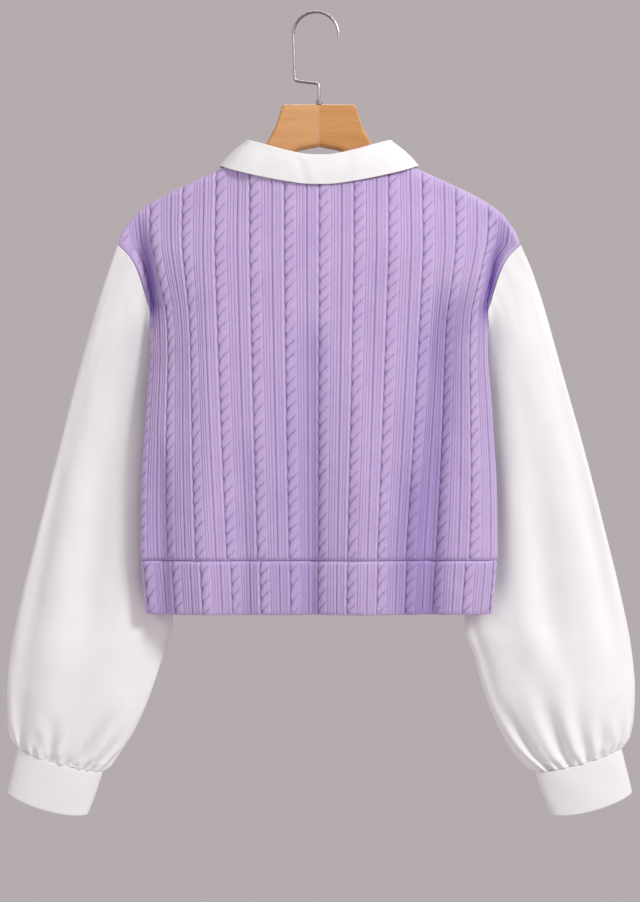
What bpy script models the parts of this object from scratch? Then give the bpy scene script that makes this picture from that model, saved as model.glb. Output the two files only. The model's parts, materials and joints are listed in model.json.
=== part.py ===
"""Cropped cable-knit top with a white shirt collar and white bishop sleeves, on a wooden hanger.

Run with: blender --background --python part.py   (Blender 4.5, metres, +Z up)

The side that faces -Y is the back of the garment, and +X is its right. The origin is the inside
of the hook's crown, where a rail carries the hanger.
"""

import math

import bmesh
import bpy
import numpy as np
from mathutils import Vector

# ---------------------------------------------------------------------------------------------
# Driving sizes, in metres
# ---------------------------------------------------------------------------------------------
MIDDLE_X = 0.0033  # the garment's and the hanger's middle, beside the hook's crown

KNIT_WALL = 0.0018
SHIRT_WALL = 0.0012
CUFF_WALL = 0.0018
SEAM_GAP = 0.0004  # between two pieces that are sewn together
SEAT_GAP = 0.0005  # between the cloth and the hanger's shoulders

KNIT_REPEAT = 0.0380  # from one cable to the next
CABLE_WIDTH = 0.0150
CABLE_RELIEF = 0.0017
CABLE_GROOVE = 0.0005  # what is left of a cable's height between two of its turns
TWIST_PITCH = 0.0146
TWIST_SLANT = 0.30  # of a pitch, between a cable's middle and its edge
RIB_RELIEF = 0.0009
RIBS_PER_GAP = 3
FIRST_CABLE = 0.0066  # where the middle cable runs on the panels
BAND_REPEAT = 0.0332
BAND_FIRST_CABLE = 0.0060

HEM_SEAM_Z = -0.6013
HEM_Z = -0.6607
NECK_X = 0.0860  # half the width of the neck opening
TIP_Z = -0.2540  # the shoulder's tip
ARMPIT_Z = -0.3310
FLANK_REACH = 0.0170  # from the armhole fold's floor back to where the flank begins

GRAIN_HALF = 0.1350  # the knit keeps its straight grain this far from the panel's middle
PANEL_HALF = 0.2300  # and fans out to the armhole and the side seam in the rest
BAND_HALF = 0.2050

HANGER_END = 0.1820
HANGER_SWEEP = 0.0162  # the arms' ends, towards +Y
ARM_HALF_THICK = 0.0070

WIRE_RADIUS = 0.0015
CROWN_RADIUS = 0.0250
STEM_BEND = 0.0040

ARMHOLE_POINTS = 28  # round the sleeve: one for each side of a gather
CUFF_POINTS = 28


# ---------------------------------------------------------------------------------------------
# Tables and smooth curves through them
# ---------------------------------------------------------------------------------------------
def table(names, *rows):
    """{column name: values} from a line of names and its rows, sorted by the first column."""
    values = np.array(sorted(rows), float)
    return dict(zip(names.split(), values.T))


def curve(rows, along, value):
    """A smooth function through two columns of a table, which never passes beyond its points."""
    xs, ys = rows[along], rows[value]
    steps = np.diff(xs)
    rises = np.diff(ys) / steps
    slopes = np.concatenate([rises[:1], np.zeros(len(xs) - 2), rises[-1:]])
    same_way = rises[:-1] * rises[1:] > 0
    total = np.where(same_way, rises[:-1] + rises[1:], 1.0)
    slopes[1:-1] = np.where(same_way, 2 * rises[:-1] * rises[1:] / total, 0.0)

    def at(x):
        x = np.clip(x, xs[0], xs[-1])
        i = np.clip(np.searchsorted(xs, x, side="right") - 1, 0, len(steps) - 1)
        t = (x - xs[i]) / steps[i]
        start = (2 * t**3 - 3 * t**2 + 1) * ys[i] + (t**3 - 2 * t**2 + t) * steps[i] * slopes[i]
        end = (3 * t**2 - 2 * t**3) * ys[i + 1] + (t**3 - t**2) * steps[i] * slopes[i + 1]
        return start + end

    return at


def smooth_step(t):
    t = np.clip(t, 0.0, 1.0)
    return t * t * (3 - 2 * t)


# ---------------------------------------------------------------------------------------------
# The garment's outline. Every x is from the garment's middle, and both halves are alike
# ---------------------------------------------------------------------------------------------
# The shoulder seam, and how far below it the cloth has turned down over the hanger's arm.
SHOULDER = table(
    "x z roll",
    (0.0860, -0.1605, 0.0110),
    (0.1086, -0.1712, 0.0110),
    (0.1277, -0.1795, 0.0110),
    (0.1487, -0.1888, 0.0110),
    (0.1690, -0.1981, 0.0110),
    (0.1880, -0.2089, 0.0100),
    (0.2025, -0.2199, 0.0080),
    (0.2130, -0.2343, 0.0064),
    (0.2183, -0.2435, 0.0056),
    (0.2215, -0.2540, 0.0050),
)
NECK = {
    "back": table(
        "x z y",
        (0.0000, -0.1780, -0.0165),
        (0.0300, -0.1762, -0.0158),
        (0.0600, -0.1690, -0.0128),
        (0.0750, -0.1622, -0.0088),
        (0.0830, -0.1600, -0.0020),
        (0.0860, -0.1605, 0.0048),
    ),
    "front": table(
        "x z y",
        (0.0000, -0.2450, 0.0240),
        (0.0280, -0.2300, 0.0236),
        (0.0560, -0.2020, 0.0222),
        (0.0760, -0.1740, 0.0172),
        (0.0830, -0.1630, 0.0112),
        (0.0860, -0.1605, 0.0048),
    ),
}
# The armhole seam down to the armpit, then the side seam, then the hem band's side.
PANEL_EDGE = table(
    "z x",
    (-0.2540, 0.2215),
    (-0.2654, 0.2098),
    (-0.2768, 0.2022),
    (-0.2937, 0.1955),
    (-0.3128, 0.1895),
    (-0.3310, 0.1845),
    (-0.3770, 0.1848),
    (-0.4268, 0.1886),
    (-0.4686, 0.1914),
    (-0.5122, 0.1942),
    (-0.5919, 0.1958),
    (-0.6013, 0.1952),
    (-0.6060, 0.1944),
    (-0.6607, 0.1892),
)

# ---------------------------------------------------------------------------------------------
# How far the cloth stands to the back (-Y) and to the front (+Y)
# ---------------------------------------------------------------------------------------------
# In plan the body is a flat lens of this half width, which the armhole cuts short.
LENS = table(
    "z width middle_y side_y back front",
    (-0.1600, 0.2300, 0.0100, 0.0110, 0.0270, 0.0150),
    (-0.2400, 0.2080, 0.0080, 0.0110, 0.0260, 0.0160),
    (-0.2800, 0.1975, 0.0065, 0.0112, 0.0250, 0.0165),
    (-0.3100, 0.1908, 0.0056, 0.0115, 0.0240, 0.0165),
    (-0.3310, 0.1845, 0.0052, 0.0112, 0.0235, 0.0165),
    (-0.3770, 0.1848, 0.0045, 0.0080, 0.0232, 0.0167),
    (-0.4268, 0.1886, 0.0035, 0.0050, 0.0230, 0.0170),
    (-0.5122, 0.1942, 0.0025, 0.0025, 0.0225, 0.0180),
    (-0.6013, 0.1952, 0.0020, 0.0020, 0.0220, 0.0190),
    (-0.6607, 0.1892, 0.0020, 0.0020, 0.0210, 0.0180),
)
LENS_POWER = {"back": 2.6, "front": 2.1}
DRAPE_LENGTH = 0.1100  # below the shoulder, until the cloth has left the hanger for the lens

# Near the shoulders the cloth lies round the hanger's arms instead.
UPPER = table(
    "x back front",
    (0.0000, -0.0165, 0.0240),
    (0.0400, -0.0155, 0.0232),
    (0.0700, -0.0118, 0.0205),
    (0.0860, -0.0070, 0.0172),
    (0.1100, -0.0040, 0.0182),
    (0.1500, 0.0010, 0.0228),
    (0.1820, 0.0060, 0.0264),
    (0.2000, 0.0080, 0.0240),
    (0.2215, 0.0085, 0.0188),
)
# The armhole seam's two sides, and the deep fold beside it, where the cloth falls in below the
# hanger's end.
ARMHOLE = table(
    "z back front fold_x fold_depth",
    (-0.2180, 0.0085, 0.0188, 0.2000, 0.0000),
    (-0.2350, 0.0085, 0.0188, 0.1975, 0.0030),
    (-0.2540, 0.0083, 0.0192, 0.1948, 0.0070),
    (-0.2654, 0.0080, 0.0210, 0.1932, 0.0088),
    (-0.2768, 0.0072, 0.0228, 0.1915, 0.0085),
    (-0.2937, 0.0075, 0.0232, 0.1885, 0.0055),
    (-0.3128, 0.0088, 0.0205, 0.1855, 0.0020),
    (-0.3230, 0.0090, 0.0155, 0.1835, 0.0005),
    (-0.3310, 0.0112, 0.0112, 0.1820, 0.0000),
)
ARMPIT_FADE = 0.0200  # above the armpit, until the armhole has its full depth

# Soft folds hang from the shoulders and deepen to the hem. A negative depth is a ridge.
FOLDS = {
    "back": table(
        "top_x hem_x top_z depth width",
        (-0.1760, -0.1720, -0.4300, 0.0035, 0.0110),
        (-0.1310, -0.1240, -0.3300, -0.0050, 0.0220),
        (-0.0830, -0.0790, -0.4400, 0.0030, 0.0130),
        (-0.0090, -0.0090, -0.2600, 0.0075, 0.0150),
        (0.0490, 0.0470, -0.3600, -0.0045, 0.0200),
        (0.1000, 0.0900, -0.4300, 0.0030, 0.0110),
        (0.1420, 0.1180, -0.2600, 0.0080, 0.0150),
        (0.1790, 0.1760, -0.2900, -0.0025, 0.0110),
    ),
    "front": table(
        "top_x hem_x top_z depth width",
        (-0.1450, -0.1330, -0.3400, 0.0055, 0.0160),
        (-0.0950, -0.0900, -0.4200, -0.0040, 0.0210),
        (-0.0420, -0.0380, -0.3600, 0.0055, 0.0150),
        (0.0250, 0.0260, -0.4000, -0.0045, 0.0220),
        (0.0900, 0.0820, -0.3300, 0.0065, 0.0160),
        (0.1450, 0.1390, -0.4300, -0.0030, 0.0180),
    ),
}
FACING = {"back": -1.0, "front": 1.0}  # the way each panel faces, along Y

shoulder_z = curve(SHOULDER, "x", "z")
shoulder_roll = curve(SHOULDER, "x", "roll")
edge_x = curve(PANEL_EDGE, "z", "x")
lens_width = curve(LENS, "z", "width")
middle_y = curve(LENS, "z", "middle_y")
side_y = curve(LENS, "z", "side_y")
fold_x = curve(ARMHOLE, "z", "fold_x")
fold_depth = curve(ARMHOLE, "z", "fold_depth")
lens_depth = {face: curve(LENS, "z", face) for face in FACING}
upper_y = {face: curve(UPPER, "x", face) for face in FACING}
armhole_y = {face: curve(ARMHOLE, "z", face) for face in FACING}
neck_z = {face: curve(NECK[face], "x", "z") for face in FACING}
neck_y = {face: curve(NECK[face], "x", "y") for face in FACING}


def arm_y(x):
    """The middle plane of the hanger's arms, which sweep towards +Y, and the shoulder seam's."""
    return HANGER_SWEEP * (np.minimum(np.abs(x), HANGER_END) / HANGER_END) ** 1.6


def seam_y(x):
    """The shoulder seam follows the arm, and drops back a little beyond its end."""
    return arm_y(x) - 0.0026 * smooth_step((np.abs(x) - HANGER_END) / (0.2215 - HANGER_END))


def panel_y(face, x, z):
    """y of a panel's middle surface at x and z, before its top edge turns over the shoulder."""
    out = FACING[face]
    reach = np.abs(x)
    # Below the armpits the side seam closes the lens, so it is never wider than the panel.
    half_width = min(lens_width(z), edge_x(z)) if z < ARMPIT_Z else lens_width(z)
    out_there = np.minimum(reach / half_width, 1.0)
    plane = middle_y(z) + (side_y(z) - middle_y(z)) * out_there**6
    depth = lens_depth[face](z) * np.sqrt(1 - out_there ** LENS_POWER[face])
    lens = plane + out * (SEAM_GAP / 2 + depth)
    upper = upper_y[face](reach)
    y = upper + (lens - upper) * smooth_step((shoulder_z(reach) - z) / DRAPE_LENGTH)

    open_share = float(smooth_step((z - ARMPIT_Z) / ARMPIT_FADE))
    if open_share > 0:
        floor_x = fold_x(z)
        seam_width = max(edge_x(z) - floor_x, 0.002)
        to_seam = smooth_step((reach - floor_x + FLANK_REACH) / (seam_width + FLANK_REACH))
        y = y + (armhole_y[face](z) - y) * to_seam * open_share
        if face == "back":
            side = np.where(reach < floor_x, FLANK_REACH, seam_width)
            nearness = np.clip((reach - floor_x) / side, -1, 1)
            y = y + fold_depth(z) * (1 - nearness**2) ** 2

    rows = FOLDS[face]
    for top_x, hem_x, top_z, depth, width in zip(*rows.values()):
        down = np.clip((top_z - z) / (top_z - HEM_Z), 0, 1)
        middle = top_x + (hem_x - top_x) * down
        near_edge = smooth_step((edge_x(z) - reach) / 0.012)
        fold = depth * smooth_step(down * 1.15) * near_edge * np.exp(-(((x - middle) / width) ** 2))
        y = y - out * fold
    return y


# ---------------------------------------------------------------------------------------------
# The panels' flat pattern: how much cloth lies beside the middle, level by level
# ---------------------------------------------------------------------------------------------
LEVELS = np.linspace(HEM_Z, -0.1500, 220)
SHARES = np.linspace(-1, 1, 321)
LAYOUT_SAMPLES = 401


def lay_out(face):
    """x, y and the width of cloth s over LEVELS and SHARES. A share of 1 is the panel's edge."""
    angle = np.linspace(-math.pi / 2, math.pi / 2, LAYOUT_SAMPLES)
    middle = LAYOUT_SAMPLES // 2
    xs, ys, widths = [], [], []
    for z in LEVELS:
        x = edge_x(z) * np.sin(angle)
        y = panel_y(face, x, z)
        run = np.concatenate([[0], np.cumsum(np.hypot(np.diff(x), np.diff(y)))])
        run -= run[middle]
        wanted = np.where(SHARES < 0, -run[0], run[-1]) * SHARES
        xs.append(np.interp(wanted, run, x))
        ys.append(np.interp(wanted, run, y))
        widths.append(wanted)
    return {"x": np.array(xs), "y": np.array(ys), "s": np.array(widths)}


LAYOUT = {face: lay_out(face) for face in FACING}


def look_up(grid, share, z):
    """A value of a layout between its levels and shares."""
    row = (z - LEVELS[0]) / (LEVELS[1] - LEVELS[0])
    column = (share + 1) / (SHARES[1] - SHARES[0])
    row = min(max(row, 0.0), len(LEVELS) - 1.001)
    column = min(max(column, 0.0), len(SHARES) - 1.001)
    i, j = int(row), int(column)
    a, b = row - i, column - j
    low = grid[i, j] * (1 - b) + grid[i, j + 1] * b
    high = grid[i + 1, j] * (1 - b) + grid[i + 1, j + 1] * b
    return float(low * (1 - a) + high * a)


def top_edge(face, x):
    """(z, y) of a panel's top edge: its neckline, then the shoulder seam."""
    reach = abs(x)
    if reach < NECK_X:
        return float(neck_z[face](reach)), float(neck_y[face](reach))
    return float(shoulder_z(reach)), float(seam_y(reach)) + FACING[face] * SEAM_GAP / 2


def panel_point(face, share, z):
    """A point on a panel's middle surface. Below its top edge it turns over towards the seam."""
    x = look_up(LAYOUT[face]["x"], share, z)
    y = look_up(LAYOUT[face]["y"], share, z)
    edge_z, edge_y = top_edge(face, x)
    below = min(max((edge_z - z) / float(shoulder_roll(abs(x))), 0.0), 1.0)
    turned = math.sqrt(1 - (1 - below) ** 2)
    return Vector((x, edge_y + (y - edge_y) * turned, z))


def eased(z):
    """The knit is drawn in towards the hem, where it is sewn to the band."""
    return 1.0 - 0.09 * max(-0.26 - z, 0.0) / 0.31


class Panel:
    """A knitted piece's middle surface, over u and v.

    u is in metres of its flat pattern from the middle, and v is the share of the way down from
    its top edge. Without a top_z the piece starts at the neckline and the shoulder seams.
    """

    def __init__(self, face, half, grain_half, bottom_z, top_z=None):
        self.face, self.half, self.grain_half = face, half, grain_half
        self.bottom_z, self.top_z = bottom_z, top_z
        self.tops = {}

    def share(self, u, z):
        edge = abs(look_up(LAYOUT[self.face]["s"], math.copysign(1.0, u), z))
        straight = self.grain_half * eased(z)
        fan = (abs(u) - self.grain_half) / (self.half - self.grain_half)
        place = abs(u) * eased(z) if fan < 0 else straight + (edge - straight) * min(fan, 1.0)
        return math.copysign(place / edge, u)

    def top(self, u):
        if self.top_z is not None:
            return self.top_z
        if u not in self.tops:
            low, high = -0.2600, -0.1500
            for _ in range(30):
                z = (low + high) / 2
                x = look_up(LAYOUT[self.face]["x"], self.share(u, z), z)
                if top_edge(self.face, x)[0] > z:
                    low = z
                else:
                    high = z
            self.tops[u] = low
        return self.tops[u]

    def length(self, u):
        return self.top(u) - self.bottom_z

    def point(self, u, v):
        z = self.top(u) - self.length(u) * v
        share = self.share(u, z)
        if self.top_z is None:
            return panel_point(self.face, share, z)
        layout = LAYOUT[self.face]
        return Vector((look_up(layout["x"], share, z), look_up(layout["y"], share, z), z))

    def normal(self, u, v):
        """The outward normal. A rim that faces another piece's rim stays square to the seam."""
        across, down = 0.0015, 0.0008
        near_u = min(max(u, across - self.half), self.half - across)
        near_v = min(max(v, down), 1 - down)
        along = self.point(near_u + across, near_v) - self.point(near_u - across, near_v)
        below = self.point(near_u, near_v + down) - self.point(near_u, near_v - down)
        normal = along.cross(below) * FACING[self.face]
        here = self.point(u, v)
        on_shoulder = self.top_z is None and v == 0 and abs(here.x) > NECK_X - 0.001
        on_side = abs(u) == self.half and here.z < ARMPIT_Z + 0.004
        if on_shoulder or on_side:
            normal.y = 0
        if v == 1 or (v == 0 and self.top_z is not None):
            normal.z = 0
        return normal.normalized()

    def relief(self, u, v):
        """What share of the knit's relief is left: none at a seam, and less in the armhole fold."""
        length = self.length(u)
        share = min(1.0, v * length / 0.008, (1 - v) * length / 0.003)
        here = self.point(u, v)
        in_fold = here.z > ARMPIT_Z - 0.01 and abs(here.x) > float(fold_x(here.z)) - 0.012
        return share * (0.5 if in_fold and self.top_z is None else 1.0)


# ---------------------------------------------------------------------------------------------
# Walls: two skins of rows, zipped to each other
# ---------------------------------------------------------------------------------------------
def zip_rows(mesh, first, second):
    """Triangles between two rows of (place, vertex), which may differ in number."""
    i = j = 0
    while i < len(first) - 1 or j < len(second) - 1:
        step_first = j == len(second) - 1
        if i < len(first) - 1 and not step_first:
            step_first = first[i][0] + first[i + 1][0] <= second[j][0] + second[j + 1][0]
        if step_first:
            corners = (first[i][1], second[j][1], first[i + 1][1])
            i += 1
        else:
            corners = (first[i][1], second[j][1], second[j + 1][1])
            j += 1
        if len(set(corners)) == 3:
            mesh.faces.new(corners)


def build_wall(name, outside, inside, material, closed=False):
    """A wall between two skins. A skin is a list of (u, row), and a row a list of (v, point).

    The skins' rims are zipped together. A closed wall is a tube, whose last row meets its first.
    """
    mesh = bmesh.new()
    skins = []
    for skin in (outside, inside):
        rows = [(u, [(v, mesh.verts.new(point)) for v, point in row]) for u, row in skin]
        if closed:
            rows.append((math.inf, rows[0][1]))
        for (_, row), (_, following) in zip(rows, rows[1:]):
            zip_rows(mesh, row, following)
        skins.append(rows)
    for end in (0, -1):
        zip_rows(mesh, *[[(u, row[end][1]) for u, row in rows] for rows in skins])
        if not closed:
            zip_rows(mesh, *[rows[end][1] for rows in skins])
    bmesh.ops.recalc_face_normals(mesh, faces=mesh.faces)
    return add_object(name, mesh, material, "middle")


# ---------------------------------------------------------------------------------------------
# The knit: cables and ribs, as columns that run down a panel
# ---------------------------------------------------------------------------------------------
def knit_columns(half, repeat, first_cable):
    """(u, kind) of each column. Ribs and valleys alternate between two cables."""
    rib_pitch = (repeat - CABLE_WIDTH) / RIBS_PER_GAP
    columns = []
    for number in range(-8, 9):
        centre = first_cable + number * repeat
        columns.append((centre - CABLE_WIDTH / 2, "cable_left"))
        columns.append((centre, "cable"))
        columns.append((centre + CABLE_WIDTH / 2, "cable_right"))
        for rib in range(RIBS_PER_GAP):
            start = centre + CABLE_WIDTH / 2 + rib * rib_pitch
            columns.append((start + rib_pitch / 2, "rib"))
            if rib < RIBS_PER_GAP - 1:
                columns.append((start + rib_pitch, "valley"))
    margin = rib_pitch / 3
    kept = [column for column in columns if abs(column[0]) < half - margin]
    return [(-half, "valley")] + kept + [(half, "valley")]


def plain_rows(panel, u):
    """Shares of the way down at which a plain column has its points."""
    if panel.top_z is not None:
        return [0.0, 1.0]
    length = panel.length(u)
    x = abs(panel.point(u, 0).x)
    if x < 0.066:
        return [0.0, 0.15, 0.40, 0.70, 1.0]
    roll = [0.0, 0.0012 / length, 0.0038 / length, 0.0100 / length]
    if abs(u) > 0.205:
        armhole = [0.045, 0.06, 0.09, 0.12, 0.15, 0.175, 0.20, 0.23, 0.27, 0.32]
        return roll + armhole + [0.40, 0.70, 0.90, 1.0]
    if x > 0.165:
        return roll + [0.06, 0.12, 0.175, 0.23, 0.27, 0.32, 0.40, 0.70, 0.90, 1.0]
    if x > 0.120:
        return roll + [0.08, 0.15, 0.22, 0.30, 0.40, 0.70, 1.0]
    return roll + [0.15, 0.40, 0.70, 1.0]


def column_rows(panel, u, kind):
    """(v, height) down a column of knit."""
    plain = plain_rows(panel, u)
    by_armhole = len(plain) > 13 and (kind == "cable_left" or abs(u) > 0.205)
    if kind == "valley" or by_armhole:
        return [(v, 0.0) for v in plain]
    if kind == "rib":
        return [(v, RIB_RELIEF) for v in plain]
    pitch = TWIST_PITCH / panel.length(u)
    start = 0.0
    rows = [(0.0, 0.0)]
    if len(plain) > 6:
        rows = [(v, 0.0) for v in plain[:4]]
        start = plain[3]
    for turn in range(int(1 / pitch) + 1):
        if kind == "cable":
            rows.append((start + (turn + 0.05) * pitch, CABLE_GROOVE))
            rows.append((start + (turn + 0.60) * pitch, CABLE_RELIEF))
        elif kind == "cable_left" and turn % 2 == 0:
            rows.append((start + (turn + 0.05 + TWIST_SLANT) * pitch, 0.0))
        elif kind == "cable_right" and turn % 2 == 1:
            rows.append((start + (turn + 1.05 - TWIST_SLANT) * pitch, 0.0))
    return [row for row in rows if row[0] < 1 - 0.2 * pitch] + [(1.0, 0.0)]


def inside_spacing(u):
    """The inside has every column where the wall bends tightly, and every third where it is flat."""
    if abs(u) > 0.155 or 0.068 < abs(u) < 0.092:
        return 1
    return 3 if abs(u) < 0.06 else 2


def knit_wall(name, panel, columns):
    """A knitted wall: its outside has the columns' relief, and its inside is plain."""
    outside, inside = [], []
    for number, (u, kind) in enumerate(columns):
        row = []
        for v, height in column_rows(panel, u, kind):
            raised = KNIT_WALL / 2 + height * panel.relief(u, v)
            row.append((v, panel.point(u, v) + panel.normal(u, v) * raised))
        outside.append((u, row))
        if abs(u) == panel.half or number % inside_spacing(u) == 0:
            plain = [
                (v, panel.point(u, v) - panel.normal(u, v) * (KNIT_WALL / 2))
                for v in plain_rows(panel, u)
            ]
            inside.append((u, plain))
    build_wall(name, outside, inside, "knit")


# ---------------------------------------------------------------------------------------------
# Sleeves and cuffs: rings along a tube, each from its outer edge round the back to its inner edge
# ---------------------------------------------------------------------------------------------
SLEEVE = table(
    "t outer_x outer_z inner_x inner_z y depth sag",
    (0.00, 0.2223, -0.2545, 0.1872, -0.3305, 0.0140, 0.0080, 0.0000),
    (0.05, 0.2316, -0.2860, 0.1868, -0.3430, 0.0180, 0.0100, 0.0000),
    (0.12, 0.2462, -0.3370, 0.1780, -0.3690, 0.0230, 0.0120, 0.0000),
    (0.22, 0.2646, -0.4030, 0.1725, -0.4270, 0.0262, 0.0125, 0.0000),
    (0.36, 0.2876, -0.4860, 0.1685, -0.5130, 0.0272, 0.0130, 0.0000),
    (0.50, 0.3103, -0.5750, 0.1645, -0.6040, 0.0276, 0.0140, 0.0000),
    (0.62, 0.3266, -0.6400, 0.1625, -0.6690, 0.0278, 0.0165, 0.0000),
    (0.74, 0.3388, -0.7000, 0.1755, -0.7120, 0.0278, 0.0190, 0.0010),
    (0.84, 0.3430, -0.7460, 0.1898, -0.7540, 0.0276, 0.0200, 0.0020),
    (0.92, 0.3418, -0.7770, 0.2062, -0.7900, 0.0274, 0.0180, 0.0030),
    (0.965, 0.3380, -0.7950, 0.2225, -0.8140, 0.0272, 0.0155, 0.0038),
    (1.00, 0.3310, -0.8085, 0.2405, -0.8336, 0.0270, 0.0128, 0.0040),
)
SLEEVE_RINGS = (0.0, 0.04, 0.09, 0.16, 0.30, 0.46, 0.62, 0.76, 0.86, 0.92, 0.965, 1.0)
CUFF = table(
    "t outer_x outer_z inner_x inner_z y depth sag",
    (0.0, 0.3311, -0.8089, 0.2406, -0.8340, 0.0270, 0.0128, 0.0040),
    (1.0, 0.3411, -0.8570, 0.2566, -0.8815, 0.0270, 0.0124, 0.0065),
)
# How deep the gathers are along the sleeve: deepest a little above the cuff, which holds them.
GATHERS = table(
    "t depth",
    (0.86, 0.0000),
    (0.91, 0.0012),
    (0.96, 0.0023),
    (1.00, 0.0013),
)
ARMPIT_OPENING = 0.0180  # how wide the sleeve stays at the armpit, by the root of the way left
ARMHOLE_FADE = 0.14  # of the sleeve, until its own section has replaced the armhole's shape


class Tube:
    """A sleeve's or a cuff's middle surface, over an angle and t, the share of the way down."""

    def __init__(self, rows, side, from_armhole):
        self.side, self.from_armhole = side, from_armhole
        names = ("outer_x", "outer_z", "inner_x", "inner_z", "y", "depth", "sag")
        self.at = {name: curve(rows, "t", name) for name in names}
        end = self.ends(1.0)
        start = self.ends(0.9)
        self.axis = (end[0] + end[1] - start[0] - start[1]).normalized()

    def ends(self, t):
        """The outer and the inner edge at t."""
        at = {name: float(values(t)) for name, values in self.at.items()}
        outer = Vector((self.side * at["outer_x"], at["y"], at["outer_z"]))
        inner = Vector((self.side * at["inner_x"], at["y"], at["inner_z"]))
        return outer, inner

    def section(self, angle, t):
        outer, inner = self.ends(t)
        point = outer.lerp(inner, (1 - math.cos(angle)) / 2)
        depth, sag = float(self.at["depth"](t)), float(self.at["sag"](t))
        point.y -= depth * math.sin(angle)
        point.z -= sag * abs(math.sin(angle))
        return point

    def armhole(self, angle):
        """The armhole's edge, moved out of the panels' way."""
        share = (1 - math.cos(angle)) / 2
        z = TIP_Z + (ARMPIT_Z - TIP_Z) * share
        face = "back" if angle <= math.pi else "front"
        point = panel_point(face, self.side, z)
        point.x += self.side * (0.0010 + 0.0010 * share**3)
        middle = (armhole_y["back"](z) + armhole_y["front"](z)) / 2
        opening = min(ARMPIT_OPENING * math.sqrt(1 - share), 0.0040)
        if share > 0.5 and abs(point.y - middle) < opening:
            point.y = middle + FACING[face] * opening
        return point

    def point(self, angle, t):
        point = self.section(angle, t)
        if self.from_armhole and t < ARMHOLE_FADE:
            kept = 1 - float(smooth_step(t / ARMHOLE_FADE))
            point += (self.armhole(angle) - self.section(angle, 0.0)) * kept
        return point

    def normal(self, angle, t):
        turn, down = 0.03, 0.004
        low, high = max(t - down, 0.0), min(t + down, 1.0)
        round_it = self.point((angle + turn) % math.tau, t) - self.point((angle - turn) % math.tau, t)
        along = self.point(angle, high) - self.point(angle, low)
        normal = round_it.cross(along)
        if t in (0.0, 1.0) and not (self.from_armhole and t == 0.0):
            normal -= self.axis * normal.dot(self.axis)
        return normal.normalized() * self.side


def tube_wall(name, tube, rings, points, wall, material, gathers=None):
    """A closed tube of cloth. Gathers lift every second line of its points and lower the rest."""
    skins = ([], [])
    for number in range(points):
        angle = math.tau * number / points
        rows = ([], [])
        for t in rings:
            point, normal = tube.point(angle, t), tube.normal(angle, t)
            wave = 0.0
            if gathers:
                uneven = 0.75 + 0.25 * math.sin(2.4 * (number // 2))
                wave = float(gathers(t)) * uneven * (1 if number % 2 else -1)
                wave *= 0.45 + 0.55 * abs(math.sin(angle))
            for row, half in zip(rows, (wall / 2, -wall / 2)):
                row.append((t, point + normal * (wave + half)))
        for skin, row in zip(skins, rows):
            skin.append((angle, row))
    build_wall(name, *skins, material, closed=True)


# ---------------------------------------------------------------------------------------------
# The collar: q runs from the middle of the back (0) round to the middle of the front (1 or -1)
# ---------------------------------------------------------------------------------------------
COLLAR = table(
    "q fold_x fold_y fold_z edge_x edge_y edge_z",
    (0.00, 0.0000, -0.0160, -0.1562, 0.0000, -0.0238, -0.1880),
    (0.14, 0.0330, -0.0148, -0.1532, 0.0400, -0.0232, -0.1860),
    (0.27, 0.0600, -0.0100, -0.1470, 0.0780, -0.0200, -0.1800),
    (0.36, 0.0735, -0.0040, -0.1420, 0.1000, -0.0120, -0.1740),
    (0.43, 0.0768, 0.0040, -0.1405, 0.1086, 0.0055, -0.1655),
    (0.475, 0.0762, 0.0085, -0.1437, 0.1088, 0.0150, -0.1685),
    (0.52, 0.0745, 0.0130, -0.1480, 0.1070, 0.0240, -0.1815),
    (0.65, 0.0630, 0.0205, -0.1700, 0.0960, 0.0285, -0.2120),
    (0.80, 0.0390, 0.0250, -0.2030, 0.0770, 0.0296, -0.2480),
    (0.92, 0.0160, 0.0275, -0.2270, 0.0580, 0.0300, -0.2780),
    (1.00, 0.0025, 0.0285, -0.2380, 0.0450, 0.0302, -0.2940),
)
SHOULDER_Q = 0.43
COLLAR_STEPS = 17  # for each half
LEAF_SPREAD = 0.0036  # how far from the stand the leaf hangs, just below the fold
LEAF_DROP = 0.0030
LEAF_BULGE = 0.0014
STAND_TOP = 0.0034  # below the fold
fold_line = {name: curve(COLLAR, "q", "fold_" + name) for name in "xyz"}
leaf_edge = {name: curve(COLLAR, "q", "edge_" + name) for name in "xyz"}


def on_line(line, q):
    point = [float(line[name](abs(q))) for name in "xyz"]
    point[0] = math.copysign(point[0], q)
    return Vector(point)


def neck_point(q):
    """A point on the panels' neckline."""
    reach = abs(q)
    face = "back" if reach < SHOULDER_Q else "front"
    turn = reach / SHOULDER_Q if face == "back" else (1 - reach) / (1 - SHOULDER_Q)
    x = NECK_X * math.sin(min(turn, 1.0) * math.pi / 2)
    x = max(x, 0.0015 if face == "front" else 0.0)
    return Vector((math.copysign(x, q), float(neck_y[face](x)), float(neck_z[face](x))))


def across(line, q, direction):
    """The direction, without its part along a line of the collar at q."""
    near = min(max(q, -0.99), 0.99)
    tangent = (line(near + 0.01) - line(near - 0.01)).normalized()
    return (direction - tangent * direction.dot(tangent)).normalized()


def fold_frame(q):
    """The fold's point, the stand's upward direction there, and the direction out of the neck."""
    fold, edge = on_line(fold_line, q), on_line(leaf_edge, q)
    up = across(lambda place: on_line(fold_line, place), q, fold - neck_point(q))
    out = across(lambda place: on_line(fold_line, place), q, edge - fold)
    out = (out - up * out.dot(up)).normalized()
    return fold, up, out


def stand_point(q, v):
    fold, up, _ = fold_frame(q)
    neck = neck_point(q)
    on_side = (neck.x / NECK_X) ** 2
    in_front = float(smooth_step((abs(q) - SHOULDER_Q) / 0.2))
    lift = SEAM_GAP + 0.0003 + (KNIT_WALL / 2 + 0.0002) * on_side + 0.0006 * in_front
    foot = neck + across(neck_point, q, fold - neck) * lift
    return foot.lerp(fold - up * STAND_TOP, v)


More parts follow.
